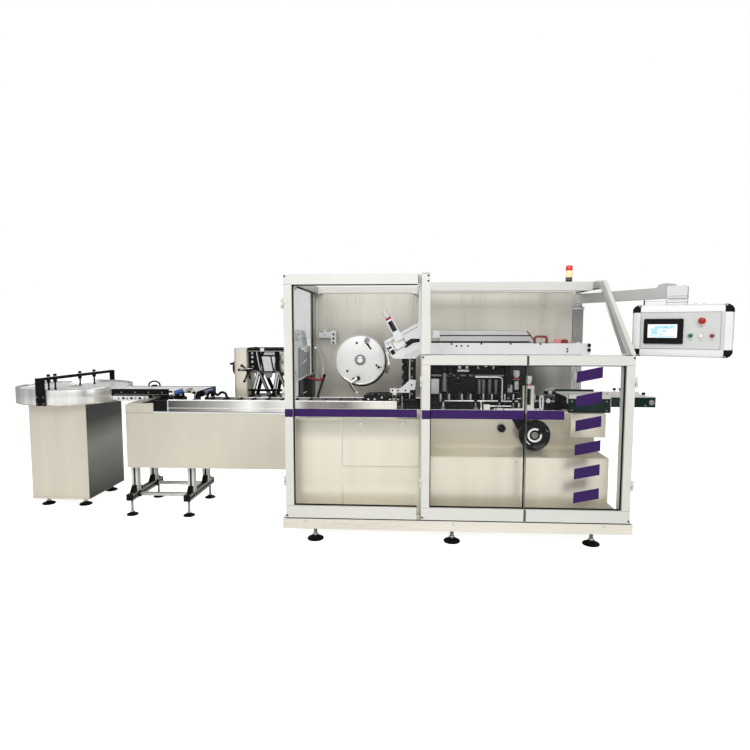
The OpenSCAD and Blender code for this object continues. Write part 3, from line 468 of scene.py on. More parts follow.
DRESS = {
    "stainless": (2.0, "drive_box turntable_pedestal leaflet_cabinet"),
    "cover_steel_painted_shade": (2.0, "inspection_cover"),
    "infeed_steel": (2.0, "infeed_body"),
    "body_steel_painted_shade": (2.0, "machine_body"),
    "plinth_steel": (3.0, "base_plinth"),
    "backdrop_steel_painted_shade": (0.8, "back_panel"),
    "polished_steel": (0.8, "guide_rods door_hinges bed_plate magazine_deck stand_columns"),
    "rail_steel_painted_reflections": (2.0, "product_rails"),
    "disc_steel": (1.0, "turntable_disc transfer_belt"),
    "guide_steel": (0.6, "carton_guides"),
    "ring_steel": (1.0, "turntable_ring"),
    "frame_aluminium": (2.0, "guard_posts guard_long_rails guard_deep_rails slanted_post left_door_frame "
                             "middle_door_frame right_door_frame"),
    "arm_grey": (2.5, "panel_arm"),
    "column_painted_light_and_shade": (2.5, "panel_column"),
    "tinted_sheet": (0.5, "side_glass"),
    "clear_sheet": (0.5, "left_door_glass middle_door_glass right_door_glass"),
    "rotor_grey": (2.0, "carton_rotor"),
    "white_plate": (1.0, "magazine_sides height_adjusters bracket_plates"),
    "lug_white": (1.0, "carton_lugs"),
    "roller_white": (1.0, "leaflet_rollers discharge_belt"),
    "green_enamel": (1.0, "discharge_sides"),
    "panel_face": (2.0, "panel_enclosure"),
    "black_plastic": (1.0, "handwheel levelling_feet stand_beams product_flights"),
    "black_steel": (1.0, "turntable_guide transfer_sides leaflet_frame"),
    "dark_housing": (1.5, "pusher_housing rotor_bearing carton_track"),
    "belt_rubber": (1.0, "product_belt"),
    "screen_black": (1.0, "panel_screen"),
    "red_plastic": (1.0, "panel_buttons"),
    "lens_amber": (1.0, "signal_lamp"),
}
for look, (edge, names) in DRESS.items():
    for name in names.split():
        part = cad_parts[name]
        part.data.materials.clear()
        part.data.materials.append(FINISH[look])
        soft_edge(part, edge / 1000)
dressed = [n for _, names in DRESS.values() for n in names.split()]
print("dressed", len(dressed), "left", sorted(set(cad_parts) - set(dressed)))

# %% [markdown]
# ## Workshop
# The small pieces are made the way a workshop makes them: sawn blocks with broken edges, turned parts,
# plates cut to an outline and bent tube. Each maker returns points and faces in millimetres; a `Bench`
# gathers them into one piece with its finishes and sets it on the body that carries it.

# %% Shapes in millimetres
def turns(count):
    """Even angles round a full circle."""
    return [2 * math.pi * k / count for k in range(count)]


def polar(radius, angle):
    return radius * math.cos(angle), radius * math.sin(angle)


def block(x0, x1, y0, y1, z0, z1, edge=1.0):
    """A box with its twelve edges chamfered."""
    ends = ((x0, x1), (y0, y1), (z0, z1))
    edge = min([edge] + [(b - a) * 0.45 for a, b in ends])
    corners = [(i, j, k) for i in (0, 1) for j in (0, 1) for k in (0, 1)]
    points, index = [], {}
    for corner in corners:
        for axis in range(3):
            index[corner, axis] = len(points)
            inset = [0 if a == axis else edge * (1 - 2 * corner[a]) for a in range(3)]
            points.append([ends[a][corner[a]] + inset[a] for a in range(3)])
    faces = [[index[c, a] for a in range(3)] for c in corners]
    for axis in range(3):
        b, c = [a for a in range(3) if a != axis]
        for side in (0, 1):
            ring = []
            for u, v in ((0, 0), (1, 0), (1, 1), (0, 1)):
                corner = [0, 0, 0]
                corner[axis], corner[b], corner[c] = side, u, v
                ring.append(index[tuple(corner), axis])
            faces.append(ring)
        for u in (0, 1):
            for v in (0, 1):
                one, two = [0, 0, 0], [0, 0, 0]
                one[b] = two[b] = u
                one[c] = two[c] = v
                two[axis] = 1
                faces.append([index[tuple(one), b], index[tuple(two), b], index[tuple(two), c],
                              index[tuple(one), c]])
    return points, faces


def turned(profile, sides=28):
    """A lathe part round Z from (radius, height) pairs."""
    points, rings = [], []
    for radius, height in profile:
        if radius < 1e-6:
            rings.append([len(points)])
            points.append((0, 0, height))
        else:
            rings.append(list(range(len(points), len(points) + sides)))
            points += [(*polar(radius, a), height) for a in turns(sides)]
    faces = []
    for a, b in zip(rings, rings[1:]):
        for i in range(sides):
            j = (i + 1) % sides
            ring = [a[i % len(a)], a[j % len(a)], b[j % len(b)], b[i % len(b)]]
            ring = [p for n, p in enumerate(ring) if p not in ring[:n]]
            if len(ring) > 2:
                faces.append(ring)
    for ring in (rings[0], rings[-1]):
        if len(ring) > 2:
            faces.append(ring)
    return points, faces


def cut_plate(outline, depth, edge=0.8):
    """A plate with chamfered rims: the outline lies in X and Y, the depth runs along Z."""
    count = len(outline)
    inner = []
    area = sum(outline[i - 1][0] * outline[i][1] - outline[i][0] * outline[i - 1][1]
               for i in range(count))
    side = 1 if area > 0 else -1
    for i in range(count):
        a, b, c = (Vector(outline[k % count]) for k in (i - 1, i, i + 1))
        d1, d2 = (b - a).normalized(), (c - b).normalized()
        n1, n2 = Vector((-d1.y, d1.x)) * side, Vector((-d2.y, d2.x)) * side
        inner.append(b + (n1 + n2) * (edge / max(0.35, 1 + n1.dot(n2))))
    layers = [(inner, 0), (outline, edge), (outline, depth - edge), (inner, depth)]
    points = [(p[0], p[1], z) for ring, z in layers for p in ring]
    faces = [list(range(count)), list(range(3 * count, 4 * count))]
    for k in range(3):
        for i in range(count):
            j = (i + 1) % count
            faces.append([k * count + i, k * count + j, (k + 1) * count + j, (k + 1) * count + i])
    return points, faces


def oblong(x0, x1, y0, y1):
    """The outline of a rectangle."""
    return [(x0, y0), (x1, y0), (x1, y1), (x0, y1)]


def lobed(radius, lobes, depth, count):
    """The outline of a grip with soft lobes."""
    return [polar(radius * (1 + depth * math.cos(lobes * a)), a) for a in turns(count)]


def smooth_line(points, steps=8):
    """A flowing line through the points."""
    pts = [Vector(p) for p in points]
    pts = [pts[0] * 2 - pts[1]] + pts + [pts[-1] * 2 - pts[-2]]
    line = []
    for a, b, c, d in zip(pts, pts[1:], pts[2:], pts[3:]):
        for s in range(steps):
            t = s / steps
            line.append(0.5 * (2 * b + (c - a) * t + (2 * a - 5 * b + 4 * c - d) * t * t
                               + (3 * b - a - 3 * c + d) * t ** 3))
    return line + [pts[-2]]


def bent_tube(line, radius, sides=12):
    """Round bar or tube along a line."""
    line = [Vector(p) for p in line]
    points, faces, up = [], [], None
    for i, p in enumerate(line):
        along = (line[min(i + 1, len(line) - 1)] - line[max(i - 1, 0)]).normalized()
        if up is None:
            up = along.orthogonal().normalized()
        up = (up - along * up.dot(along)).normalized()
        across = along.cross(up)
        points += [p + radius * (math.cos(a) * up + math.sin(a) * across) for a in turns(sides)]
    for i in range(len(line) - 1):
        for k in range(sides):
            j = (k + 1) % sides
            faces.append([i * sides + k, i * sides + j, (i + 1) * sides + j, (i + 1) * sides + k])
    faces += [list(range(sides)), list(range((len(line) - 1) * sides, len(line) * sides))]
    return points, faces


def hose(points, steps, radius, sides):
    """Round bar along a flowing line."""
    return bent_tube(smooth_line(points, steps), radius, sides)


def rod(radius, length, edge=0.6, sides=24):
    """A turned bar with broken ends."""
    edge = min(edge, radius * 0.4, length * 0.4)
    return turned([(0, 0), (radius - edge, 0), (radius, edge), (radius, length - edge),
                   (radius - edge, length), (0, length)], sides)


def screw(radius, height):
    """A socket screw head."""
    return turned([(0, 0), (radius, 0), (radius, height * 0.8), (radius * 0.88, height),
                   (radius * 0.55, height), (radius * 0.5, height * 0.5), (0, height * 0.45)], 16)


def nut(radius, height):
    """A hexagon with its corners turned off."""
    return turned([(0, 0), (radius * 0.92, 0), (radius, height * 0.12), (radius, height * 0.88),
                   (radius * 0.92, height), (0, height)], 6)


# %% Directions, and the bench that joins shapes into a piece
LEFT, RIGHT, BACK = (-1, 0, 0), (1, 0, 0), (0, 1, 0)
XZ = Matrix(((1, 0, 0, 0), (0, 0, 1, 0), (0, 1, 0, 0), (0, 0, 0, 1)))
YZ = Matrix(((0, 0, 1, 0), (1, 0, 0, 0), (0, 1, 0, 0), (0, 0, 0, 1)))


def towards(x, y, z, way=(0, -1, 0), turn=0.0):
    """Sets a shape's own Z along a way, at a machine point."""
    return (Matrix.Translation((x, y, z)) @ Vector(way).to_track_quat("Z",
                                                                      "Y").to_matrix().to_4x4()
            @ Matrix.Rotation(math.radians(turn), 4, "Z"))


def xz_at(y):
    """For plates with an X-Z outline: the depth starts at y."""
    return Matrix.Translation((0, y, 0)) @ XZ


def yz_at(x):
    return Matrix.Translation((x, 0, 0)) @ YZ


def moved(x, y, z):
    return Matrix.Translation((x, y, z))


def level(z):
    return moved(0, 0, z)


def spin(degrees, axis="Z"):
    return Matrix.Rotation(math.radians(degrees), 4, axis)


CREASE = math.radians(34)


class Bench:
    """Gathers shapes, each with its finish, into one piece."""

    def __init__(self, name):
        self.name, self.mesh, self.looks = name, bmesh.new(), []

    def put(self, shape, look, where=None):
        if look not in self.looks:
            self.looks.append(look)
        number = self.looks.index(look)
        where = where or Matrix()
        points = [self.mesh.verts.new(where @ Vector(p)) for p in shape[0]]
        for ring in shape[1]:
            face = self.mesh.faces.new([points[i] for i in ring])
            face.material_index, face.smooth = number, True

    def blocks(self, where=None, **table):
        """Blocks under the name of their finish."""
        for look, boxes in table.items():
            for box in boxes:
                self.put(block(*box), look, where)

    def done(self, body, slot=None, stands_for=()):
        bmesh.ops.recalc_face_normals(self.mesh, faces=self.mesh.faces)
        bmesh.ops.transform(self.mesh, matrix=Matrix.Translation(ORIGIN) @ Matrix.Scale(0.001, 4),
                            verts=self.mesh.verts)
        data = bpy.data.meshes.new(self.name)
        self.mesh.to_mesh(data)
        self.mesh.free()
        data.set_sharp_from_angle(angle=CREASE)
        for look in self.looks:
            data.materials.append(FINISH[look])
        thing = bpy.data.objects.new(self.name, data)
        scene.collection.objects.link(thing)
        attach(thing, body)
        if stands_for:
            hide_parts(*stands_for)
        print(f"{self.name}: {sum(len(p.vertices) - 2 for p in data.polygons)} triangles on {body}")


# %% [markdown]
# ## Doors and guard
# The clear doors are sheet held in a rubber gasket on three sides, with a soft seal down the free edge. A
# purple film band runs over stile and sheet. The frame is bolted through its corners, so black caps sit
# there. The film is cut 0.4 mm thick and lies on the sheet; the gasket stands a few millimetres proud of
# it.

# %% Door gaskets, seals, film bands and corner caps
def strip_frame(piece, x0, x1, z0, z1, y0, y1, look, wide=6, sides="LRTB"):
    """Strips along the chosen sides of a rectangle."""
    bars = {"L": (x0, x0 + wide, z0, z1), "R": (x1 - wide, x1, z0, z1), "T": (x0, x1, z1 - wide, z1),
            "B": (x0, x1, z0, z0 + wide)}
    for side in sides:
        a, b, c, d = bars[side]
        piece.put(block(a, b, y0, y1, c, d, 1.2), look)


def cap(piece, x, y, z, way=(0, -1, 0), radius=5.5):
    piece.put(screw(radius, 3.0), "black_plastic", towards(x, y, z, way))


def door_trim(name, pane, sides, rails, edge, joints, bolt, films, end, inset):
    """Gaskets in front of and behind the sheet, film bands, rail end seals, joint lines and corner caps."""
    piece = Bench(name + "_trim")
    for y0, y1 in ((15, 19.6), (25.4, 29)):
        strip_frame(piece, *pane, y0, y1, "rubber", 6, sides)
    if edge:
        piece.put(block(*edge[:2], 16, 29, 229, 1073, 1.5), edge[2])
    for x0, x1, y0, y1, low in films:
        piece.put(block(x0, x1, y0, y1, low, 811, 0.1), "purple_film")
    for (z0, z1), seam in zip(rails, (rails[0][0], rails[1][1])):
        piece.put(block(*end[:4], z0 + inset, z1 - inset, end[4]), "rubber")
        piece.put(block(*joints, -0.15, 0.4, seam - 0.5, seam + 0.7, 0.1), "rubber")
    for z in (rails[0][1] - bolt[1], 168):
        cap(piece, bolt[0], 0.2, z)
    return piece


STILE, SHEET = (-0.4, 0.05), (19.1, 19.55)
HIGH_RAILS, LOW_RAILS = ((1540, 1600), (155, 227)), ((1075, 1130), (155, 227))
left = door_trim("left_door", (53, 786, 227, 1540), "LTB", HIGH_RAILS, None, (6, 52), (13, 13),
                 [(5.5, 53, *STILE, 764), (53, 785, *SHEET, 764)], (785.6, 789, 4, 41, 1.0), 3)
left.done("left_door", "black_plastic")
middle = door_trim("middle_door", (860, 1411, 227, 1075), "LTB", LOW_RAILS, (1406, 1412.5, "rubber"),
                   (813, 859), (819, 11), [(812.5, 860, *STILE, 758), (860, 1405.5, *SHEET, 758)],
                   (1410.6, 1413, 3, 42, 0.8), 2)
middle.done("middle_door", "black_plastic")
right = door_trim("right_door", (1417, 1973, 227, 1075), "RTB", LOW_RAILS, (1415.5, 1422, "clear_edge"),
                  (1974, 2019), (2013, 11), [(1422.5, 1636, *SHEET, 758)], (1415, 1417.4, 3, 42, 0.8), 2)
for z0, z1 in LOW_RAILS:
    right.put(block(1417.2, 1424.5, -0.4, 6, z0 + 1.5, z1 - 1.5, 0.8), "rubber")
for k in range(6):
    top = 1068 - 142 * k
    bar = [(1700, top - 30), (1846, top), (1846, top - 64), (1700, top - 94)]
    right.put(cut_plate(bar, 0.45, 0.1), "purple_film", xz_at(19.1))
right.done("right_door", "black_plastic")

# %% [markdown]
# The fixed guard has the same black caps, a gasket round the side pane and small chrome angles in the
# corners. Frame profiles are closed with black plastic plugs where they end.

# %% Guard fittings
PANE_LOW, RAIL_LOW, GUARD_TOP = 952, 1550, 1600
GASKETS = (17, 22.2), (27.8, 33)
guard = Bench("guard_fittings")
for z in (1587, 1557):
    cap(guard, 845, 0.2, z)
for x, way in ((0, LEFT), (2026, RIGHT)):
    for z in (165, 1105):
        cap(guard, x, 75, z, way, 6)
for x0, x1 in GASKETS:
    for y0, y1 in ((100, 107), (858, 868)):
        guard.put(block(x0, x1, y0, y1, PANE_LOW, RAIL_LOW, 1), "rubber")
    guard.put(block(x0, x1, 107, 993, RAIL_LOW - 7, RAIL_LOW, 1), "rubber")
    guard.put(block(x0, x1, 868, 1000, PANE_LOW + 4, RAIL_LOW - 7, 1), "profile_grey")
guard.put(block(19, 31, 100, 1000, PANE_LOW - 4, PANE_LOW + 4, 1.5), "frame_aluminium")
ANGLE = [(0, 0), (38, 0), (38, -5), (7, -8), (5, -38), (0, -38)]
for x, y, mirror in ((50, 981, 1), (807, 981, -1), (50, 119, 1)):
    angle = [(x + a * mirror, RAIL_LOW + b) for a, b in ANGLE]
    guard.put(cut_plate(angle, 30, 1), "polished_steel", xz_at(y - 15))
    guard.put(screw(6, 4), "dull_steel", towards(x + 24 * mirror, y, RAIL_LOW - 5.5, (0, 0, -1)))
    guard.put(screw(6, 4), "dull_steel", towards(x + 5.5 * mirror, y, RAIL_LOW - 24, (mirror, 0, 0)))
for x, y0, y1 in ((0, 50, 100), (807, 0, 100), (0, 1000, 1050)):
    plug = block(x + 2, x + 48, y0 + 2, y1 - 2, GUARD_TOP - 0.5, GUARD_TOP + 2.5, 1.2)
    guard.put(plug, "black_plastic")
# The grey plate on the inner side face of the slanted post is painted shade on the white profile.
side = [(16, 1142), (86, 1142), (489, 1556), (628, 1556), (628, 1594), (542, 1594), (512, 1584)]
guard.put(cut_plate(side, 1.2, 0.3), "profile_grey", yz_at(1974.9))
front = [(9.6, 1136.5), (513.9, 1591.1), (514.9, 1590.0), (10.6, 1135.4)]
guard.put(cut_plate(front, 23, 0.3), "profile_grey", yz_at(1977.2))
for shift in (-14, 8, 30):
    slot = [(y + shift * 0.72, z - shift * 0.62)
            for y, z in ((62, 1162), (66, 1162), (500, 1572), (496, 1574))]
    guard.put(cut_plate(slot, 0.6, 0.15), "dull_steel", yz_at(1974.5))
# The grey strips on the inner faces of the two top rails are painted shade as well.
guard.blocks(
    profile_grey=[(1974.9, 1976.1, 640, 995, 1556, 1594, 0.3), (49.9, 51.1, 104, 996, 1556, 1594, 0.3)],
    rubber=[(1972, 1980, 520, 998, 1544.5, 1550.3, 1), (0, 2026, 5.8, 12, 146.7, 152.4, 0.8)])
guard.done("machine", "black_plastic")

# %% [markdown]
# ## Feet
# Heavy machines stand on swivel feet: a moulded pad, a threaded stem and a lock nut under the frame. The
# pad is one turned shape and the thread a fine saw-tooth profile on the lathe.

# %% Levelling feet
feet = Bench("levelling_foot_set")


def thread(radius, low, high, pitch):
    teeth, z = [(0, low)], low
    while z < high - pitch:
        teeth += [(radius * 0.88, z), (radius, z + pitch * 0.5)]
        z += pitch
    return turned(teeth + [(radius, high), (0, high)], 20)


def foot(x, y, top, pad, stem):
    spot = moved(x, y, 0)
    feet.put(turned([(0, 0), (pad * 0.94, 0), (pad, pad * 0.05), (pad, pad * 0.15),
                     (pad * 0.93, pad * 0.22), (pad * 0.66, pad * 0.30), (pad * 0.44, pad * 0.43),
                     (stem * 1.9, pad * 0.52), (stem * 1.7, pad * 0.58), (0, pad * 0.58)], 40),
             "black_plastic", spot)
    feet.put(turned([(pad * 0.985, pad * 0.02), (pad * 1.0, pad * 0.10), (pad * 0.985, pad * 0.12)], 40),
             "rubber", spot)
    feet.put(thread(stem, pad * 0.5, top + 0.4, 4), "dull_steel", spot)
    feet.put(nut(stem * 1.75, stem * 1.1), "polished_steel", moved(x, y, top - stem * 1.15))
    feet.put(nut(stem * 1.5, stem * 0.8), "polished_steel", moved(x, y, pad * 0.56))


for x in (170.2, 1000.8, 1827.5):
    for y in (70, 1030):
        foot(x, y, 85, 50, 11)
for x in (-1167, -767):
    for y in (438, 852):
        foot(x, y, 108, 39, 8)
for x in (-1900, -1620):
    for y in (640, 1000):
        foot(x, y, 60, 44, 9)
feet.done("machine", "black_plastic", ["levelling_feet"])

# %% [markdown]
# ## Body
# The body is boxed sheet over a welded frame. The front has one lift-off cover with two quarter-turn locks;
# a round black knob clamps the height above the ledge. Behind there are three service doors with louvres,
# which nobody sees in a catalogue picture but which every such machine has.

# %% Front cover, locks, clamp knob and seams
body = Bench("body_front_fittings")
for x0, x1, z0, z1 in ((331.5, 334.2, 440, 735), (799.8, 802, 440, 735), (331.5, 802, 440, 443.4)):
    body.put(block(x0, x1, 128.6, 130.2, z0, z1, 0.3), "dull_steel")
for x in (439, 702):
    lock = towards(x, 127.4, 705)
    body.put(turned([(0, 0), (14, 0), (14, 2.5), (12.5, 4), (10.5, 4), (10, 2.5), (9.2, 2.5), (9, 8.5),
                     (7, 10), (0, 10.6)], 32), "polished_steel", lock)
    body.put(block(-1.2, 1.2, -6.5, 6.5, 10.0, 10.9, 0.2), "rubber", lock @ Matrix.Rotation(0.5, 4, "Z"))
for x0, x1 in ((866, 1404), (1412, 1930)):
    body.put(cut_plate(oblong(x0, x1, 154, 500), 1.6, 0.6), "stainless", xz_at(128.6))
for x in (884, 1386, 1430, 1912):
    for z in (172, 482):
        body.put(screw(4.5, 2.4), "polished_steel", towards(x, 128.8, z))
body.put(cut_plate(oblong(16, 326, 154, 728), 1.4, 0.6), "cover_steel_painted_shade", xz_at(128.8))
body.put(cut_plate(oblong(336, 800, 154, 434), 1.4, 0.6), "cover_steel_painted_shade", xz_at(128.8))
knob = towards(1340, 400.3, 640)
body.put(turned([(0, 0), (15, 0), (15, 3), (9, 4), (9, 14), (0, 14)], 32), "polished_steel", knob)
body.put(cut_plate(lobed(25.5, 5, 0.025, 40), 22, 3.5), "black_plastic", knob @ moved(0, 0, 12))
body.put(turned([(0, 33), (9, 33), (10.5, 34.5), (9, 36), (0, 36.6)], 24), "black_steel", knob)
body.done("machine", "stainless")

# %% Rear service doors, louvres and cable entry
def quarter_turn(piece, lock):
    """A lock with a slot for a key."""
    piece.put(turned([(0, 0), (16, 0), (16, 3), (13, 5), (11, 5), (10, 8), (0, 8.5)], 28),
              "polished_steel", lock)
    piece.put(block(-1.5, 1.5, -7, 7, 8, 9, 0.2), "rubber", lock)


def louvre(piece, x0, x1, y, z, slat, slit):
    """A pressed slat, deep and tall, over a dark slit: its front, its back and its drop."""
    deep, tall = slat
    outline = [(0, 0), (deep, 0), (3, tall), (0, tall)]
    piece.put(cut_plate(outline, x1 - x0, 0.8), "stainless", moved(x0, y, z) @ YZ)
    piece.put(block(x0 + 2, x1 - 2, slit[0], slit[1], z - slit[2], z - 0.5, 0.2), "rubber")


rear = Bench("rear_service_doors")
for x0, x1 in ((24, 650), (660, 1290), (1300, 1926)):
    rear.put(cut_plate(oblong(x0, x1, 158, 724), 3, 1.2), "stainless", xz_at(984.6))
    middle_x = (x0 + x1) / 2
    for k in range(9):
        louvre(rear, middle_x - 130, middle_x + 130, 987.2, 250 + 26 * k, (10, 14), (987.0, 987.9, 4.5))
    for z in (300, 590):
        quarter_turn(rear, towards(x1 - 34, 987.4, z, BACK))
    for z in (200, 660):
        rear.put(rod(6, 60), "polished_steel", moved(x0 + 6, 990, z))
for x in (330, 960, 1590):
    rear.put(cut_plate(oblong(x - 300, x + 300, 770, 1538), 2, 0.8), "infeed_steel", xz_at(1010.4))
    for dx in (-280, 0, 280):
        for z in (790, 1154, 1518):
            rear.put(screw(5.5, 3), "polished_steel", towards(x + dx, 1012.2, z, BACK))
for x in (1480, 1540, 1600):
    rear.put(turned([(0, 0), (18, 0), (18, 5), (14, 6), (14, 18), (10, 22), (0, 22)], 12),
             "black_plastic", towards(x, 1130, 116, BACK))
for x in (120, 1001, 1880):
    for y, way in ((5, -1), (1130, 1)):
        rear.put(nut(8, 5), "polished_steel", towards(x, y - way * 0.3, 131, (0, way, 0)))
rear.done("machine", "stainless")

# %% [markdown]
# ## Turntable
# Bottles or tubes ride round on a bright disc inside a rolled stainless ring. The ring has a rolled bead on
# its rim and a riveted lap joint; the pedestal has a side door and louvres behind. A black bridge carries
# round guide rods, each set with a knob.

# %% Ring bead, lap joint, pedestal fittings
TABLE = Vector((-1760, 820, 0))


def round_table(radius, degrees, z):
    x, y = polar(radius, math.radians(degrees))
    return Vector((TABLE.x + x, TABLE.y + y, z))


table = Bench("turntable_fittings")
arc = [round_table(387, d, 861) for d in range(12, 334, 3)]
table.put(bent_tube(arc, 4.2, 10), "polished_steel")
arc = [round_table(388.6, d, 758) for d in range(0, 361, 3)]
table.put(bent_tube(arc, 3.2, 8), "polished_steel")
for degrees in (196, 204):
    for z in (772, 800, 828, 850):
        table.put(turned([(0, 0), (4, 0), (3.4, 1.6), (0, 2.4)], 14), "polished_steel",
                  towards(*round_table(389.8, degrees, z), round_table(1, degrees, 0) - TABLE))
lap = [round_table(390, d, 757) for d in range(192, 201)]
points = [p for q in lap for p in (q, Vector((q.x, q.y, 856)))]
points += [TABLE + (Vector((p.x, p.y, 0)) - TABLE) * (391.2 / 390) + Vector((0, 0, p.z)) for p in points]
count = len(lap)
sheet = [[2 * i, 2 * i + 2, 2 * i + 3, 2 * i + 1] for i in range(count - 1)]
outer = [[2 * count + k for k in face] for face in sheet]
rims = [[0, 1, 2 * count + 1, 2 * count], [2 * count - 2, 2 * count - 1, 4 * count - 1, 4 * count - 2]]
for i in range(count - 1):
    rims += [[2 * i, 2 * i + 2, 2 * count + 2 * i + 2, 2 * count + 2 * i],
             [2 * i + 1, 2 * i + 3, 2 * count + 2 * i + 3, 2 * count + 2 * i + 1]]
table.put((points, sheet + outer + rims), "ring_steel")
table.put(block(-1974, -1550.4, 566, 1074, 735, 755.3, 3), "stainless")
table.put(block(-1973, -1550.4, 567, 1073, 58, 76, 2), "stainless")
table.put(cut_plate(oblong(-1962, -1558, 84, 728), 1.6, 0.8), "stainless", xz_at(568.8))
table.put(cut_plate(oblong(584, 1056, 90, 722), 3, 1), "stainless", yz_at(-1972.6))
# The pedestal's right side is a plate in the shaded finish: painted shade, dark at the top, with a painted
# pale band half way down.
table.put(cut_plate(oblong(574, 1068, 61, 752), 1.6, 0.8), "painted_shade_steel", yz_at(-1550.4))
for z in (250, 560):
    table.put(rod(6, 60), "polished_steel", moved(-1975, 590, z))
quarter_turn(table, towards(-1972.4, 1026, 420, LEFT))
for k in range(8):
    louvre(table, -1880, -1640, 1069.5, 240 + 26 * k, (9, 13), (1069.4, 1070.4, 4))
for x in (-1930, -1590):
    for z in (110, 700):
        table.put(screw(5, 2.6), "polished_steel", towards(x, 1069.8, z, BACK))
table.done("machine", "stainless")

# %% Guide bridge: knobs, collars and rod tips
bridge = Bench("guide_bridge_fittings")
lean = math.radians(83)
along = Vector((math.cos(lean), math.sin(lean), 0))
turn = Matrix.Translation(TABLE) @ Matrix.Rotation(lean, 4, "Z") @ moved(0, -19, 0)
for t in (-0.77, -0.61, 0.04, 0.45):
    here = Matrix.Translation(turn @ Vector((t * 390, 0, 0)))
    bridge.put(turned([(7, 908), (12, 908), (13, 910), (13, 923), (12, 925.4), (7, 925.4)], 24),
               "black_plastic", here)
    bridge.put(turned([(0, 944.6), (11, 944.6), (11, 949), (8, 951), (0, 951)], 24), "polished_steel",
               here)
    bridge.put(cut_plate(lobed(11.6, 6, 0.09, 36), 15, 2.5), "black_plastic", here @ moved(0, 0, 950))
    bridge.put(turned([(0, 850.6), (7.2, 851.2), (8, 853), (8, 862), (6.4, 865), (0, 865)], 20), "rubber",
               here)
for side, foot_z, low, high in ((-1, 770, -47, 23), (1, 815, -21, 21)):
    for z in (foot_z, foot_z + 45):
        for across in (low + 10, high - 10):
            spot = turn @ Vector((side * 398, across, 0))
            bridge.put(screw(5.5, 4), "dull_steel", towards(spot.x, spot.y, z, along * side))
    ends = sorted((side * 396, side * 378))
    bridge.put(block(ends[0], ends[1], low + 2, high - 2, 921, 927, 1.5), "black_steel", turn)
bridge.done("machine", "black_plastic")

# %% Disc centre
hub = Bench("turntable_centre")
hub.put(turned([(0, 849.6), (44, 849.6), (44, 852), (40, 855), (14, 856), (12, 860), (0, 861)], 40),
        "polished_steel", Matrix.Translation(TABLE))
for k in range(4):
    hub.put(screw(5, 3), "dull_steel", Matrix.Translation(round_table(29, 45 + 90 * k, 854.6)))
for radius in (120, 210, 300, 362):
    hub.put(bent_tube([round_table(radius, d, 849.5) for d in range(0, 361, 6)], 0.8, 6),
            "polished_steel")
hub.done("turntable", "disc_steel")

# %% [markdown]
# ## Transfer conveyor
# Two black side bars hold a white belt. Round fittings, a small blue cylinder and a hooped handle sit on
# the bars; a pale bracket under the front bar ties the turntable to the infeed.

# %% Side bar fittings, cylinder, handle and bracket
transfer = Bench("transfer_fittings")
for x in (-1330, -1230, -1130, -1030):
    transfer.put(screw(5, 4), "dull_steel", towards(x, 660.3, 826))
for x in (-1250, -1080, -910, -760):
    transfer.put(screw(5, 4), "dull_steel", towards(x, 863.7, 826, BACK))
transfer.blocks(
    dull_steel=[(-1385, -990, 659.2, 660.6, 809, 812, 0.4)],
    roller_white=[(-1400, -986, 659.4, 668.4, 850.5, 853.2, 0.8)],
    black_steel=[(-930, -856, 620, 662, 783.6, 806, 3)])
transfer.put(hose([(-1222, 860, 850), (-1214, 860, 874), (-1190, 860, 886), (-1165, 860, 886),
                   (-1141, 860, 874), (-1133, 860, 850)], 6, 6, 10), "black_plastic")
transfer.put(turned([(0, 0), (24, 0), (24, 6), (20, 10), (8, 12), (0, 12)], 28), "black_plastic",
             moved(-1177, 860, 850))
tilt = moved(-892, 640, 834) @ spin(-16, "Y")
transfer.put(rod(18, 86, 3), "blue_plastic", tilt @ towards(-43, 0, 0, RIGHT))
for x in (-46, 36):
    transfer.put(turned([(0, 0), (20, 0), (21, 2), (21, 9), (20, 11), (0, 11)], 26), "roller_white",
                 tilt @ towards(x, 0, 0, RIGHT))
transfer.put(rod(6, 54), "polished_steel", tilt @ towards(44, 0, 0, RIGHT))
for x in (-918, -868):
    transfer.put(block(x - 6, x + 6, 628, 652, 800, 826, 2), "black_plastic")
post = moved(-748, 560, 0)
transfer.put(turned([(0, 727.6), (26, 727.6), (26, 736), (24, 738), (10, 740), (10, 858), (8, 860),
                     (0, 860)], 26), "polished_steel", post)
transfer.put(block(-24, 24, -16, 16, 830, 852, 3), "roller_white", post)
transfer.put(turned([(0, 0), (9, 0), (10, 2), (10, 12), (8, 14), (0, 14)], 20), "black_plastic",
             post @ towards(0, -15.6, 841))
bar = moved(-704, 690, 832) @ spin(90)
transfer.put(block(-96, 96, -9, 1.6, -13, 13, 3), "blue_plastic", bar)
for y in (-110, 104):
    transfer.put(block(y - 10, y + 10, -12, 1.6, -17, 17, 2), "black_steel", bar)
transfer.put(hose([(-690, 628, 796), (-672, 622, 830), (-640, 618, 838), (-612, 620, 816),
                   (-584, 626, 834), (-556, 624, 826), (-545, 626, 796)], 8, 9, 10), "black_plastic")
for x in (-690, -545):
    transfer.put(block(x - 14, x + 14, 612, 640.3, 772, 800, 3), "black_steel")
pale = [(-1398, 799.5), (-1130, 799.5), (-1136, 784), (-1180, 778), (-1230, 764), (-1350, 762),
        (-1372, 770), (-1398, 772)]
transfer.put(cut_plate(pale, 6, 1), "white_plate", xz_at(661))
for x, z in ((-1352, 780), (-1290, 780), (-1228, 782), (-1160, 789)):
    transfer.put(screw(7, 4), "dull_steel", towards(x, 661.3, z))
for x in (-1318, -1258, -1196):
    transfer.put(block(x - 9, x + 9, 660, 661.4, 774, 790, 0.6), "rubber")
for k in range(26):
    x = -1362 + 24.6 * k
    transfer.put(block(x, x + 1.2, 670, 854, 849.6, 850.25, 0.2), "roller_white")
transfer.done("machine", "black_steel")

# %% [markdown]
# ## Infeed
# The trough carries a chain of flights between two rails. The front rail is folded bright sheet with a
# rolled top edge and a lip at the bottom; a black cover shuts off the sprocket beside the end block.

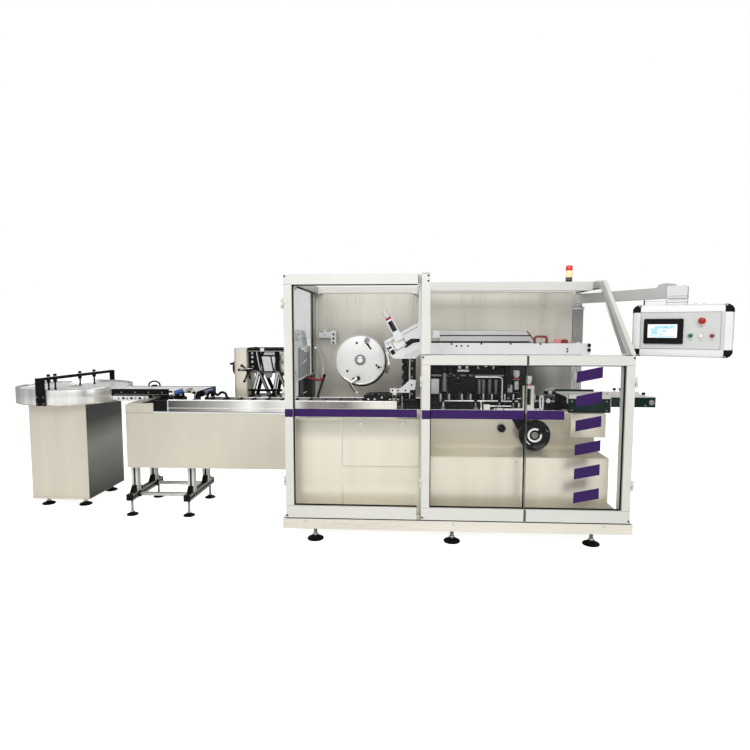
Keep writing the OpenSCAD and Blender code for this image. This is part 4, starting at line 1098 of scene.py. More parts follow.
# %% Rail edges, sprocket cover and trough seams
infeed = Bench("infeed_fittings")
# The rolled top edge is drawn in the pale disc finish, a painted highlight along the rail.
infeed.put(bent_tube([(-873, 405, 804), (661, 405, 804)], 5.4, 12), "disc_steel")
infeed.blocks(
    polished_steel=[(-873, 10, 398.6, 400.4, 750, 755, 0.6), (-881, -872.5, 397, 431, 729, 806, 1.2),
        (-978.4, -976.6, 398.8, 433, 720, 785, 0.5)],
    black_plastic=[(-977.5, -880.5, 397.5, 431.5, 716, 797, 2.5)],
    screen_black=[(-962, -896, 396.6, 398, 730, 784, 1), (-1060, -977.5, 402, 888, 783.6, 786.4, 1)],
    dull_steel=[(-1172.4, -976, 399.2, 400.4, 716, 719, 0.4)])
infeed.put(cut_plate([(394, 716), (400.4, 714), (400.4, 729.5), (396, 731), (393, 727)], 984, 0.6),
           "polished_steel", yz_at(-976))
infeed.put(cut_plate([(404, 796), (434, 797.5), (434, 801), (404, 799.5)], 98, 0.6), "black_steel",
           yz_at(-978))
for x in (-1150, -997):
    infeed.put(screw(5, 2.5), "polished_steel", towards(x, 400.2, 738))
for x in range(-1120, 0, 180):
    for z in (690, 378):
        infeed.put(screw(5, 3), "polished_steel", towards(x, 889.8, z, BACK))
infeed.put(cut_plate(oblong(-1160, -4, 352, 716), 1.6, 0.8), "infeed_steel", xz_at(889.6))
infeed.put(cut_plate(oblong(412, 878, 352, 776), 1.6, 0.8), "infeed_steel", yz_at(-1173.4))
for y in (432, 636):
    infeed.put(block(-960, 690, y - 3, y + 3, 768, 773, 1), "dull_steel")
for k in range(16):
    x = -937 + 100 * k
    if abs(x) > 8:
        infeed.put(block(x - 16, x + 16, 446, 622, 769.4, 776, 1.5), "black_plastic")
infeed.done("machine", "polished_steel")

# %% [markdown]
# ## Stand
# The infeed stands on slotted aluminium profile: bright edges with a dark slot down each side. Corner
# gussets stiffen the joints, black plugs close the ends and two round tubes tie the beams.

# %% Slotted profile columns, beams and ties
stand = Bench("infeed_stand")


def slotted(low, high, side, axis, look="frame_aluminium"):
    """A square slotted profile between two points along one axis: four edge bars round a dark core."""
    edge = side * 0.36
    low, high = list(low), list(high)
    a, b = [k for k in range(3) if k != axis]
    for i in (0, 1):
        for j in (0, 1):
            p, q = low[:], high[:]
            p[a], q[a] = (low[a], low[a] + edge) if i == 0 else (high[a] - edge, high[a])
            p[b], q[b] = (low[b], low[b] + edge) if j == 0 else (high[b] - edge, high[b])
            stand.put(block(p[0], q[0], p[1], q[1], p[2], q[2], 1.6), look)
    inset = side * 0.17
    p, q = low[:], high[:]
    for k in (a, b):
        p[k], q[k] = low[k] + inset, high[k] - inset
    p[axis], q[axis] = low[axis] + 0.5, high[axis] - 0.5
    stand.put(block(p[0], q[0], p[1], q[1], p[2], q[2], 0.5), "rubber")


for x in (-1190, -790):
    for y in (505, 785):
        slotted((x, y - 23, 152), (x + 46, y + 23, 341.3), 46, 2)
        for way in (-1, 1):
            gusset = [(y + way * 23, 152), (y + way * 62, 152), (y + way * 62, 160), (y + way * 33, 196),
                      (y + way * 23, 196)]
            stand.put(cut_plate(gusset, 34, 2), "black_steel", yz_at(x + 6))
            stand.put(nut(7, 6), "polished_steel", moved(x + 23, y + way * 50, 160))
    slotted((x, 406, 108), (x + 46, 884, 152), 45, 1, "hub_grey")
    for y0, y1 in ((402, 406.5), (883.5, 888)):
        stand.put(block(x - 0.5, x + 46.5, y0, y1, 107.5, 152.5, 2), "black_plastic")
for y in (505, 785):
    stand.put(rod(14, 354.6, 1), "polished_steel", towards(-1144.3, y, 130, RIGHT))
    for x, way in ((-1144.2, 1), (-789.8, -1)):
        stand.put(turned([(14, 0), (21, 0), (22, 1.5), (22, 9), (20, 12), (14, 12)], 28), "black_steel",
                  towards(x, y, 130, (way, 0, 0)))
stand.done("machine", "frame_aluminium", ["stand_columns", "stand_beams"])

# %% [markdown]
# ## Leaflet folder
# Folding rollers and a sheet pocket sit between two side frames on splayed legs. The cabinet beside them is
# folded sheet with a round front edge. The pocket is a pale board between the columns, with black strips
# that guide the sheet; bright faces on the legs and a row of roller ends break up the black frame.

# %% Cabinet, pocket, leg faces and hand levers
def rounded(x0, x1, y0, y1, r, steps=5):
    """A rectangle's outline with round corners."""
    outline = []
    for cx, cy, start in ((x1 - r, y1 - r, 0), (x0 + r, y1 - r, 90), (x0 + r, y0 + r, 180),
                          (x1 - r, y0 + r, 270)):
        for k in range(steps + 1):
            x, y = polar(r, math.radians(start + 90 * k / steps))
            outline.append((cx + x, cy + y))
    return outline


cabinet = Bench("leaflet_cabinet_shell")
cabinet.put(cut_plate(rounded(-512, -411.2, 690, 890, 20), 418, 2), "stainless", level(728))
cabinet.put(cut_plate(rounded(-512.5, -410.9, 689.5, 890.5, 20.5), 18, 1.5), "arm_grey", level(1128.4))
cabinet.put(cut_plate(oblong(716, 864, 752, 1104), 1.6, 0.8), "stainless", yz_at(-513.2))
cabinet.put(cut_plate(oblong(-496, -427, 752, 1104), 1.6, 0.8), "stainless", xz_at(889.6))
for z in (780, 1080):
    cabinet.put(screw(6, 3), "polished_steel", towards(-513, 730, z, LEFT))
cabinet.done("machine", "stainless", ["leaflet_cabinet"])

folder = Bench("leaflet_folder_fittings")
board = [(-330.5, 1088), (-213.5, 1088), (-233, 973), (-305, 973)]
folder.put(cut_plate(board, 5, 0.8), "white_plate", xz_at(722))
folder.put(cut_plate([(-300, 1121), (-213.5, 1121), (-222, 1090), (-318, 1090)], 5, 0.8), "white_plate",
           xz_at(722))
folder.put(cut_plate([(-303, 972), (-236, 972), (-248, 930), (-290, 930)], 6, 0.8), "belt_grey",
           xz_at(723))
strips = [[(-335, 1118), (-323, 1118), (-297, 973), (-309, 973)],
          [(-256, 1086), (-246, 1086), (-226, 973), (-236, 973)],
          [(-320, 1095), (-218, 1095), (-220, 1084), (-324, 1084)],
          [(-305, 978), (-232, 978), (-233, 969), (-304, 969)],
          [(-222, 1121), (-213, 1121), (-205, 985), (-216, 985)],
          [(-318, 1121), (-292, 1121), (-309, 1084), (-322, 1090)]]
for outline in strips:
    folder.put(cut_plate(outline, 3, 0.6), "black_plastic", xz_at(719.4))
for z in (1000, 1028, 1056):
    folder.put(block(-298, -250, 721, 722.6, z, z + 2, 0.3), "arm_grey")
for z in (1008, 1046, 1079, 1108):
    folder.put(turned([(0, 0), (9, 0), (9, 2), (7, 4), (3, 4), (2, 2), (0, 2)], 18), "arm_grey",
               towards(-385, 722.2, z))
folder.put(bent_tube([(-352, 717, 1121), (-334, 717, 1010), (-326, 717, 985)], 5.5, 10), "polished_steel")
for low, high, look in ((-404.4, -354.1, "white_plate"), (-275.3, -354.1, "belt_grey"),
                        (-250.1, -214.1, "white_plate"), (-136.3, -214.1, "dull_steel")):
    face = [(low + 5, 802), (low + 19, 802), (high + 19, 980), (high + 5, 980)]
    folder.put(cut_plate(face, 2, 0.6), look, xz_at(720.4))
    folder.put(block(low - 6, low + 30, 716, 748, 799.6, 806, 1.5), "black_plastic")
folder.blocks(
    panel_white=[(-86, -46, 684, 690.4, 800, 1150, 1.5), (-8, 12, 708, 870, 1116, 1158, 3)],
    arm_grey=[(-68, -64, 683, 684.6, 830, 1130, 0.4)],
    roller_white=[(-318, -290, 687.4, 692, 1120.5, 1147, 1.5)],
    dull_steel=[(-405, -84, 687.8, 690.4, 1121, 1126, 0.5), (-84, -50, 698.4, 700.6, 1200, 1230, 1)],
    dark_housing=[(-64.4, 11, 712, 868, 784, 1128, 3), (10.4, 46, 714, 866, 784, 946, 2)],
    belt_rubber=[(-40, -14, 706, 713, 800, 1120, 2)],
    white_plate=[(-90, -12, 700, 870, 1146, 1196, 4)],
    rotor_grey=[(-88, -16, 700, 868, 1195.6, 1238, 5)])
folder.put(rod(9, 6, 1), "black_plastic", towards(-66, 684.4, 968))
folder.put(bent_tube([(-410, 706, 842), (-82, 706, 842)], 9, 14), "black_steel")
for x in (-380, -230, -110):
    folder.put(block(x - 9, x + 9, 698, 716, 799.6, 840, 2), "black_steel")
for x0, x1, z in ((-402, -376, 782), (-318, -262, 790), (-196, -184, 792), (-150, -104, 790)):
    folder.put(block(x0, x1, 688.2, 690.4, z, z + 9, 0.8), "roller_white")
pivot = (-404, 686, 985)
folder.put(rod(15, 8, 2), "black_plastic", towards(-404, 690.4, 985))
for end in ((-472, 680, 990), (-452, 678, 1020), (-434, 680, 908), (-396, 682, 936), (-378, 682, 1006)):
    folder.put(hose([pivot, tuple((a + b) / 2 for a, b in zip(pivot, end)), end], 4, 5.5, 10),
               "black_plastic")
    folder.put(turned([(0, -9), (6, -8), (9, -3), (9, 3), (6, 8), (0, 9)], 14), "black_plastic",
               Matrix.Translation(end))
folder.put(hose([(-472, 676, 985), (-430, 672, 995), (-372, 674, 1000)], 6, 3.5, 8), "polished_steel")
folder.put(turned([(0, 0), (7, 0), (8, 3), (8, 22), (6, 26), (0, 26)], 18), "black_plastic",
           towards(-537.6, 765, 1028, LEFT))
folder.put(turned([(12, 0), (18, 0), (18, 5), (13, 9), (12, 9)], 24), "dull_steel",
           towards(-512.4, 790, 1000, LEFT))
for y, way in ((743.5, 1), (868.5, -1)):
    for x in (-370.5, -202):
        for z in (996, 1074):
            folder.put(turned([(0, 0), (22, 0), (22, 6), (18, 9), (0, 9)], 24), "dull_steel",
                       towards(x, y, z, (0, way, 0)))
for x in (-404, -84):
    folder.put(block(x, x + 12, 700, 880, 1144.5, 1149, 1), "black_steel")
folder.put(cut_plate([(-20, 1026), (11, 1062), (11, 1074), (-14, 1046), (-20, 1050)], 6, 0.8),
           "panel_white", xz_at(707))
folder.put(cut_plate([(-22, 812), (10, 832), (10, 838), (-22, 822)], 5, 0.8), "arm_grey", xz_at(708))
folder.put(rod(34, 160, 4), "arm_grey", towards(-56, 864, 1246))
folder.put(turned([(0, 0), (20, 0), (20, 3), (15, 6), (0, 6)], 24), "dull_steel",
           towards(-56, 704.4, 1246))
folder.done("machine", "black_steel")

# %% [markdown]
# ## Carton rotor
# The rotor takes a flat carton from the chute with suction cups and opens it on the way down. Its face is a
# turned plate with a bright chamfered rim, a stepped hub in the middle, three bolt holes and three clamps;
# one clamp carries a bellows cup.

# %% Face plate, hub, clamps and suction cups
rotor = Bench("carton_rotor_face")
face = towards(417, 452, 1078)
rotor.put(turned([(0, 0), (163, 0), (165, 2), (165, 9), (159, 12), (0, 12)], 72), "rotor_grey", face)
rotor.put(turned([(157.6, 11.8), (159, 12.5), (165.3, 8.6), (165.3, 4), (164, 4)], 72), "polished_steel",
          face)
rotor.put(turned([(0, 0), (36, 0), (36, 6), (33, 9), (24, 10), (23, 14), (0, 14)], 40), "hub_grey",
          towards(417, 440.4, 1078))
rotor.put(turned([(0, 0), (21, 0), (21, 3), (18, 6), (9, 7), (8, 4), (4, 4), (3, 7), (0, 7.5)], 36),
          "polished_steel", towards(417, 427, 1078))


def spoke(angle):
    """A frame whose X runs outward along a spoke and whose Z points to the front."""
    a = math.radians(angle)
    out, side = Vector((math.cos(a), 0, math.sin(a))), Vector((-math.sin(a), 0, math.cos(a)))
    turn = Matrix((out, side, Vector((0, -1, 0)))).transposed().to_4x4()
    return moved(417, 440, 1078) @ turn


for angle in (101.6, 221, 341.4):
    rotor.put(turned([(0, 0), (8, 0), (8, 0.8), (6.5, 1), (0, 0.6)], 18), "rubber",
              spoke(angle) @ moved(114, 0, -0.2))
for angle in (72, 251, 339):
    clamp = spoke(angle)
    rotor.put(block(120, 154, -14, 14, -1, 15, 2), "arm_grey", clamp)
    rotor.put(rod(9, 6, 1.5), "black_plastic", clamp @ moved(132, 0, 14))
    rotor.put(screw(4, 2), "rubber", clamp @ moved(147, 7, 15))
cup = spoke(339) @ moved(120, 0, -35) @ spin(90, "Y")
rotor.put(turned([(0, 0), (14, 0), (14, 36), (19, 38), (22, 43), (19, 48), (22, 53), (19, 58), (22, 63),
                  (21, 70), (22, 82), (20, 83), (14, 74), (0, 72)], 30), "bellows_grey", cup)
rotor.put(turned([(14.2, 30), (16, 31), (16, 37), (14.2, 38)], 26), "polished_steel", cup)
slot = [(440, 1204), (453, 1211), (493, 1151), (484, 1145)]
rotor.put(cut_plate(slot, 1.2, 0.3), "rubber", xz_at(439))
rotor.put(rod(15, 12, 2), "dull_steel", towards(465, 430, 1213))
rotor.put(rod(11, 4, 1), "dull_steel", towards(469, 419, 1208))
rotor.put(bent_tube([(400, 424, 958), (384, 424, 948), (352, 424, 928)], 11, 14), "polished_steel")
rotor.put(rod(14, 14, 2), "black_plastic", towards(404, 428, 957))
rotor.put(bent_tube([(352, 424, 928), (358, 424, 916), (392, 424, 866)], 4.5, 12), "polished_steel")
rotor.put(bent_tube([(346, 427, 926), (350, 427, 912), (385, 427, 862)], 4, 10), "black_plastic")
rotor.put(turned([(0, -6), (7, -5), (9, 0), (7, 6), (0, 7)], 16), "roller_white", moved(394, 424, 862))
rotor.done("rotor", "rotor_grey", ["carton_rotor"])

# %% [markdown]
# ## Left bay
# Round the rotor stand a sensor bracket with a row of holes, stiff air pipes, a hand lever, a slotted cover
# over the product belt and the hold-down finger with its clamps. The chute end has a bolted square boss
# beside dark windows.

# %% Sensor bracket, pipes, lever, cover and hold-down
bay = Bench("left_bay_fittings")
for z in (1240, 1209, 1178):
    bay.put(turned([(0, 0), (8, 0), (8, 0.8), (6, 1), (0, 0.6)], 18), "rubber", towards(179.5, 899.6, z))
bay.blocks(
    panel_white=[(69.4, 159, 899.2, 936.6, 1214.4, 1255.6, 2),
        (158.4, 199.6, 899.4, 930.6, 1165.4, 1267.6, 2)],
    dull_steel=[(72, 176, 935.6, 941, 1196, 1262, 1.5)],
    black_steel=[(62, 116, 682, 718, 756.6, 770, 2)])
bay.put(turned([(0, 0), (12, 0), (12, 3), (9, 4), (8, 2), (0, 2)], 20), "arm_grey",
        towards(113, 899.6, 1238))
bay.put(rod(9, 21, 3), "roller_white", towards(113, 918, 1255, (0, 0, 1)))
bay.put(turned([(0, 0), (120, 0), (168, 4), (168, 10), (0, 10)], 64), "dark_housing",
        towards(424, 468, 1067))
bay.put(hose([(32, 958, 1136), (62, 950, 1108), (92, 930, 1040), (100, 900, 960), (108, 800, 938),
              (132, 706, 940)], 7, 7, 12), "clear_tube")
bay.put(nut(12, 14), "polished_steel", towards(26, 962, 1142, (0.6, -0.2, -0.6)))
bay.put(hose([(38, 566, 958), (52, 610, 938), (84, 676, 922), (108, 694, 920), (134, 700, 934)], 7, 8,
             12), "red_plastic")
bay.put(rod(11, 12, 2), "dull_steel", towards(28.4, 560, 962, (1, 0.1, -0.1)))
lever = [(140, 700, 946), (118, 700, 884), (92, 700, 806), (84, 700, 757.6)]
bay.put(hose(lever, 5, 8, 12), "black_plastic")
bay.put(hose([(150, 694, 940), (132, 694, 880), (106, 694, 806), (98, 694, 760)], 5, 3.5, 8),
        "polished_steel")
bay.put(turned([(0, -13), (9, -11), (13, -4), (13, 4), (9, 11), (0, 13)], 18), "black_plastic",
        moved(138, 700, 950))
cover = [(432, 804), (690, 804), (690, 842), (600, 846), (470, 842), (424, 818)]
for y in (442, 606):
    bay.put(cut_plate(cover, 18, 1.5), "black_steel", xz_at(y))
for k in range(7):
    bay.put(block(446 + 36 * k, 470 + 36 * k, 459.6, 606.4, 818, 840, 1.5), "black_plastic")
for x in (470, 512, 560, 614, 668):
    bay.put(turned([(0, 0), (6, 0), (6, 3), (0, 5)], 14), "roller_white",
            towards(x, 442.2, 816 if x != 560 else 828))
bay.put(rod(12, 16, 2), "black_plastic", moved(520, 451, 843))
bay.put(hose([(548, 451, 842), (566, 451, 856), (592, 451, 850), (606, 451, 838)], 5, 5, 10),
        "black_plastic")
for x in (470, 682):
    for y in (449, 611):
        bay.put(block(x - 8, x + 8, y, y + 8, 769, 806, 1), "black_steel")

# %% Hold-down clamps, chute boss and the frame behind the chute
for x, z in ((631, 879), (667, 879), (716, 879), (757, 916)):
    bay.put(turned([(0, 0), (6, 0), (6, 1), (0, 0.8)], 16), "rubber", towards(x, 410.2, z))
for z, look in ((812, "dull_steel"), (838, "polished_steel"), (858, "roller_white")):
    bay.put(turned([(8, 0), (17, 0), (18, 2), (18, 14), (17, 16), (8, 16)], 24), look, moved(645, 414, z))
bay.put(rod(6, 34, 2), "polished_steel", towards(645, 398, 846))
bay.put(rod(10, 12, 2), "black_plastic", towards(645, 366, 846))
SLOPE = spin(-29, "Y")
chute = moved(674, 344, 1188) @ SLOPE
bay.blocks(chute,
    dull_steel=[(-40, 40, -5, 0.5, -34, 34, 1.5), (-78, 160, -0.8, 0.4, 36, 39.4, 0.2)],
    white_plate=[(-36, 36, -10, 0.5, -30, 30, 2), (-80, 166, -3, 3, 40, 47, 1.5)],
    roller_white=[(-29, 29, -11.4, -9.6, -23, 23, 0.8)])
bay.put(cut_plate([(706, 1101), (782, 1101), (806, 1124), (806, 1162), (742, 1128), (712, 1118)], 1.2,
                  0.3), "arm_grey", xz_at(342.9))
for x in (-30, 30):
    for z in (-24, 24):
        bay.put(screw(3.4, 2), "dull_steel", chute @ towards(x, -9.8, z))
for x0, x1, z0, z1 in ((-76, -52, -2, 12), (-74, -48, -44, -14), (-84, -78, -36, 16)):
    bay.put(block(x0, x1, -1.2, 0.4, z0, z1, 0.4), "rubber", chute)
lever = [(703, 1190), (752, 1220), (806, 1220), (806, 1200), (764, 1192), (716, 1159)]
bay.put(cut_plate(lever, 4, 0.8), "black_plastic", xz_at(340.4))
for x in (-60, 20, 96, 160):
    bay.put(screw(4, 2), "dull_steel", chute @ towards(x, 0.2, 62 if x > 0 else 30))
bay.put(hose([(592, 347, 1136), (598, 346, 1112), (606, 344, 1086), (610, 344, 1062)], 5, 6, 12),
        "white_plate")
bay.put(turned([(0, -9), (8, -7), (9, 0), (8, 7), (0, 9)], 16), "roller_white", towards(610, 344, 1060))
bay.blocks(
    dark_housing=[(700, 786, 560.5, 640, 790, 1090, 3)],
    black_steel=[(697, 789, 470, 640, 789.4, 806, 2)],
    white_plate=[(792, 807.4, 56, 84, 1250, 1540, 2)],
    arm_grey=[(790.8, 793, 60, 80, 1262, 1400, 0.6)])
for z in (824, 880, 940, 1000, 1050):
    bay.put(block(692, 728, 548, 561, z, z + 34, 2), "black_plastic")
    bay.put(rod(8, 22, 1.5), "dull_steel", towards(760, 561, z + 16))
bay.put(rod(7, 296, 1), "polished_steel", moved(744, 548, 793))
for x in (720, 770):
    bay.put(screw(6, 5), "polished_steel", moved(x, 500, 805))
bay.done("machine", "white_plate")

# %% [markdown]
# The scales that set the height of a guide are square posts with a window, a coloured ring and a knurled
# knob. The one on the chute leans with it.

# %% Three height scales
scales = Bench("height_scale_trim")


def scale(where, half_w, half_d, tall, ring, body, window, window_look="rubber"):
    """Window, ring and knob on one square post; the post itself is the CAD part."""
    scales.put(block(-half_w - 0.8, half_w + 0.8, -half_d - 0.8, half_d + 0.8, 0.6, tall - 0.4, 1.5),
               body, where)
    pane = half_w * window
    scales.put(block(-pane, pane, -half_d - 1.6, -half_d, tall * 0.22, tall * 0.88, 0.6), window_look,
               where)
    scales.put(block(pane * 0.5, pane * 0.62, -half_d - 2.2, -half_d - 1, tall * 0.3, tall * 0.8, 0.3),
               "dull_steel", where)
    top = where @ level(tall)
    scales.put(turned([(0, 0), (17, 0), (18, 2), (18, 12), (17, 14), (0, 14)], 28), ring, top)
    scales.put(turned([(0, 13), (12, 13), (12, 24), (20.6, 26), (21, 28), (21, 52), (18, 56), (6, 57),
                       (0, 57)], 28), "roller_white", top)
    scales.put(turned([(12.2, 15), (13, 17), (13, 22), (12.2, 24)], 24), "polished_steel", top)
    for k in range(12):
        scales.put(block(-1.6, 1.6, -1, 1, 29, 51, 0.4), "arm_grey",
                   top @ spin(30 * k) @ moved(0, -21, 0))


scale(moved(1513.3, 418, 757), 34, 18, 158, "pink_plastic", "cream_plastic", 0.36)
scale(moved(1482, 662, 844), 28, 18, 88, "red_plastic", "black_plastic", 0.5, "arm_grey")
scale(moved(661, 326, 1248) @ SLOPE, 22, 18, 106, "red_plastic", "white_plate", 0.72)
scales.done("machine", "white_plate")

# %% [markdown]
# ## Carton magazine
# Flat cartons lean in a long tray. Its front plate is thick white sheet with a folded lip and countersunk
# screws. A dark red bow handle, a two-colour clip and a black friction belt lie along its top edge;
# polished guides behind it set the carton width.

# %% Lip, screws, belt, handle and clip
magazine = Bench("magazine_fittings")
magazine.blocks(
    white_plate=[(806, 1877.4, 341, 344.4, 1121, 1129, 0.8), (886.5, 935, 369, 541, 1224, 1270.4, 2.5)],
    rubber=[(880, 1502, 349.6, 356, 1190, 1204, 1.5)],
    black_plastic=[(882, 1790, 345, 349, 1192.6, 1197, 0.8)])
for x, z in ((1008, 1186), (1040, 1174), (1071, 1174), (1112, 1174), (1197, 1188), (1380, 1188),
             (1566, 1187), (1734, 1156), (1734, 1140)):
    magazine.put(turned([(0, 0), (6, 0), (6, 0.9), (4, 0.5), (0, 0.5)], 16), "rubber",
                 towards(x, 344.3, z))
for z in (1180, 1150):
    magazine.put(turned([(0, 0), (10, 0), (11, 3), (11, 9), (8, 12), (0, 12)], 20), "black_plastic",
                 towards(1867, 344.3, z))
magazine.put(hose([(1530, 347, 1192), (1530, 347, 1222), (1540, 347, 1233), (1594, 347, 1233),
                   (1604, 347, 1222), (1604, 347, 1192)], 5, 7.5, 12), "maroon_plastic")
for x in (1530, 1604):
    magazine.put(rod(11, 6, 1.5), "maroon_plastic", moved(x, 347, 1192.4))
magazine.put(cut_plate([(1651, 1192.6), (1694, 1192.6), (1694, 1214), (1686, 1219), (1657, 1219),
                        (1651, 1214)], 14, 1.5), "pink_plastic", xz_at(340.5))
magazine.put(cut_plate([(1697, 1192.6), (1738, 1192.6), (1735, 1212), (1726, 1217), (1703, 1217),
                        (1697, 1212)], 14, 1.5), "maroon_plastic", xz_at(340.5))
for y in (379.2, 529.4):
    magazine.put(block(934.5, 1510, y, y + 1.6, 1236, 1243, 0.4), "rubber")
    magazine.put(cut_plate([(1484, 1269), (1492, 1269), (1549, 1194), (1541, 1194)], 2.4, 0.5), "rubber",
                 xz_at(y - 0.6))
for y in (382, 528):
    magazine.put(bent_tube([(935, y, 1269), (1486, y, 1269)], 2.6, 8), "polished_steel")
for x in (960, 1180, 1400, 1620, 1820):
    magazine.put(rod(8, 194.6, 1), "polished_steel", towards(x, 560.5, 1157))
    magazine.put(nut(13, 8), "polished_steel", towards(x, 566, 1157, BACK))
for k in range(34):
    magazine.put(block(884 + 29 * k, 886 + 29 * k, 352, 558, 1134.4, 1135.6, 0.3), "dull_steel")
magazine.done("machine", "white_plate")

# %% [markdown]
# ## Right bay
# The pusher housing is crowded with black blocks, bright slides and pins behind the carton track. The
# track's lugs stand on black links; clamps on the bed hold the round guide rods in front of them.

# %% Pusher blocks, slides and cylinders on the housing
pushers = Bench("pusher_slides")
pushers.blocks(
    black_steel=[(880, 1412, 632, 640.4, 1010, 1070, 2), (1205, 1355, 596, 641, 824, 838, 2),
        (1078, 1142, 600, 641, 1003, 1034, 3)],
    arm_grey=[(892, 947, 600, 641, 835, 938, 2.5)],
    panel_face=[(896, 943, 598.6, 600.4, 842, 931, 0.8)],
    dark_housing=[(952, 1092, 612, 641, 836, 906, 3)],
    black_plastic=[(952, 1092, 610.4, 612.6, 868, 876, 0.5), (1190, 1330, 588, 641, 996, 1010, 2)],
    white_plate=[(1070, 1150, 592, 641, 990, 1004, 2)])
for x, z0, z1 in ((968, 940, 1064), (1010, 960, 1070), (1060, 930, 1050), (1128, 985, 1068),
                  (1180, 990, 1072), (1400, 880, 1060)):
    pushers.put(block(x, x + 32, 604, 641, z0, z1, 3), "black_plastic")
    pushers.put(rod(6, 8, 1), "polished_steel", towards(x + 16, 604.4, z1 - 18))
    pushers.put(screw(5, 4), "dull_steel", towards(x + 16, 604.4, z0 + 16))
pushers.put(rod(16, 92, 3), "hub_grey", moved(985, 604, 852))
pushers.put(rod(11, 40, 2), "dull_steel", moved(985, 604, 940))
for x in (1222, 1250, 1292, 1334):
    pushers.put(rod(11, 104, 2), "hub_grey", moved(x, 606, 836))
    pushers.put(turned([(0, 0), (15, 0), (15, 10), (11, 12), (0, 12)], 22), "black_plastic",
                moved(x, 606, 938))
for x, z in ((1086, 1020), (1134, 1020), (1206, 1018), (1262, 1030), (1318, 1016)):
    pushers.put(turned([(0, 0), (9, 0), (10, 2), (10, 10), (7, 13), (0, 13)], 20),
                "roller_white" if x != 1262 else "polished_steel", towards(x, 600.4, z))
pushers.put(hose([(1192, 586, 1030), (1230, 580, 1042), (1280, 580, 1036), (1330, 586, 1022)], 6, 5, 10),
            "polished_steel")
for x in (1196, 1326):
    pushers.put(block(x - 8, x + 8, 580, 641, 1008, 1036, 2), "black_steel")
pushers.put(rod(7, 540, 1), "hub_grey", towards(876, 622, 962, RIGHT))
for x in (884, 1140, 1398):
    pushers.put(block(x - 10, x + 10, 610, 641, 948, 976, 2), "black_plastic")
for x in (1440, 1466, 1530):
    pushers.put(block(x, x + 20, 640, 676, 757, 842 if x < 1500 else 806, 2), "black_steel")
pushers.done("machine", "dark_housing")

# %% Track links, pins, rod clamps and the small bow handle
track = Bench("carton_track_fittings")
for x in [first + 140 * k for k in range(6) for first in (950, 1006)][:-1]:
    for y in (458, 602):
        track.put(block(x - 16, x + 16, y - 12, y + 12, 789.4, 797, 2), "black_plastic")
        track.put(turned([(5, 0), (6.4, 1), (6.4, 5), (5, 6)], 14), "dull_steel", moved(x, y, 812))
for y in (441, 608):
    track.put(block(702, 1688, y, y + 11, 789.4, 801, 1.5), "black_steel")
for k in range(17):
    track.put(block(712 + 58 * k, 760 + 58 * k, 470, 590, 789.4, 792.4, 1), "rubber")
track.put(bent_tube([(1262, 415, 780), (1404, 415, 780)], 5, 12), "polished_steel")
for x in (962, 1176, 1330, 1420, 1460):
    track.put(block(x - 14, x + 14, 404, 436, 756.6, 770, 2), "hub_grey")
    track.put(rod(6, 42, 1), "dull_steel", moved(x, 425, 769))
    track.put(block(x - 10, x + 10, 416, 434, 803, 821, 2), "black_plastic")
track.blocks(
    roller_white=[(1226, 1266, 400, 420, 757, 792, 3)],
    red_plastic=[(1484, 1494, 396, 402, 768, 780, 1.5)],
    black_plastic=[(1624, 1664, 430, 452, 789, 830, 3)])
track.put(cut_plate([(1290, 757), (1600, 757), (1596, 767), (1480, 769), (1400, 766), (1294, 769)], 14,
                    1), "white_plate", xz_at(396))
for x in (1304, 1352, 1560, 1586):
    track.put(screw(6, 5), "dull_steel", towards(x, 396.4, 763))
track.put(hose([(1597, 408, 754), (1590, 408, 764), (1588, 408, 836), (1597, 408, 850), (1606, 408, 836),
                (1604, 408, 764), (1597, 408, 754)], 5, 6, 12), "roller_white")
track.put(turned([(0, 0), (14, 0), (15, 2), (15, 8), (11, 11), (0, 11)], 22), "roller_white",
          towards(1644, 430.4, 816))
track.put(rod(5, 130, 1), "polished_steel", towards(1560, 440, 812, RIGHT))
for x0, x1, z in ((1540, 1718, 757), (1600, 1716, 800)):
    track.put(block(x0, x1, 452, 600, z, z + 32, 3), "black_plastic")
for x in (1560, 1620, 1680):
    track.put(block(x, x + 6, 446, 453, 760, 830, 1), "dull_steel")
track.done("machine", "black_plastic")

# %% [markdown]
# ## Discharge conveyor
# Filled cartons leave on a pale belt between green enamelled sides. A folded steel strip caps each side, a
# drum with bearings turns the belt at the end, and small knobs hold the side rails.

# %% Top strips, drum, belt joints and knobs
outlet = Bench("discharge_fittings")
outlet.blocks(
    frame_aluminium=[(1722, 1976, 237.5, 250, 854, 879.4, 2), (1974.5, 2270.4, 298.6, 310, 857, 863.6, 1),
        (1722, 2270.4, 550, 562.5, 846, 864, 2)],
    panel_white=[(1727, 2263, 310, 550, 851.4, 854, 1)],
    black_steel=[(1655, 1730, 580, 612, 789, 802, 2), (1721.5, 1727, 304, 556, 798, 857, 1)],
    polished_steel=[(1974, 1978.5, 239, 301, 768, 878, 0.8)],
    disc_steel=[(1726, 1974, 248.2, 300, 850, 853, 1)])
for k in range(18):
    outlet.put(block(1744 + 29 * k, 1745.2 + 29 * k, 312, 548, 853.6, 854.4, 0.2), "arm_grey")
outlet.put(rod(19, 243, 2), "belt_grey", towards(2250, 551.5, 832))
for y, way in ((300.2, -1), (559.8, 1)):
    outlet.put(turned([(0, 0), (17, 0), (17, 3), (13, 6), (7, 6), (6, 3), (0, 3)], 24), "dull_steel",
               towards(2246, y, 826, (0, way, 0)))
for x, y, z in ((2196, 303.5, 863), (2150, 557, 863), (2110, 557, 863)):
    outlet.put(rod(5, 12, 1), "polished_steel", moved(x, y, z))
    outlet.put(turned([(0, 0), (9, 0), (11, 4), (11, 10), (7, 14), (0, 15)], 20), "black_plastic",
               moved(x, y, z + 11))
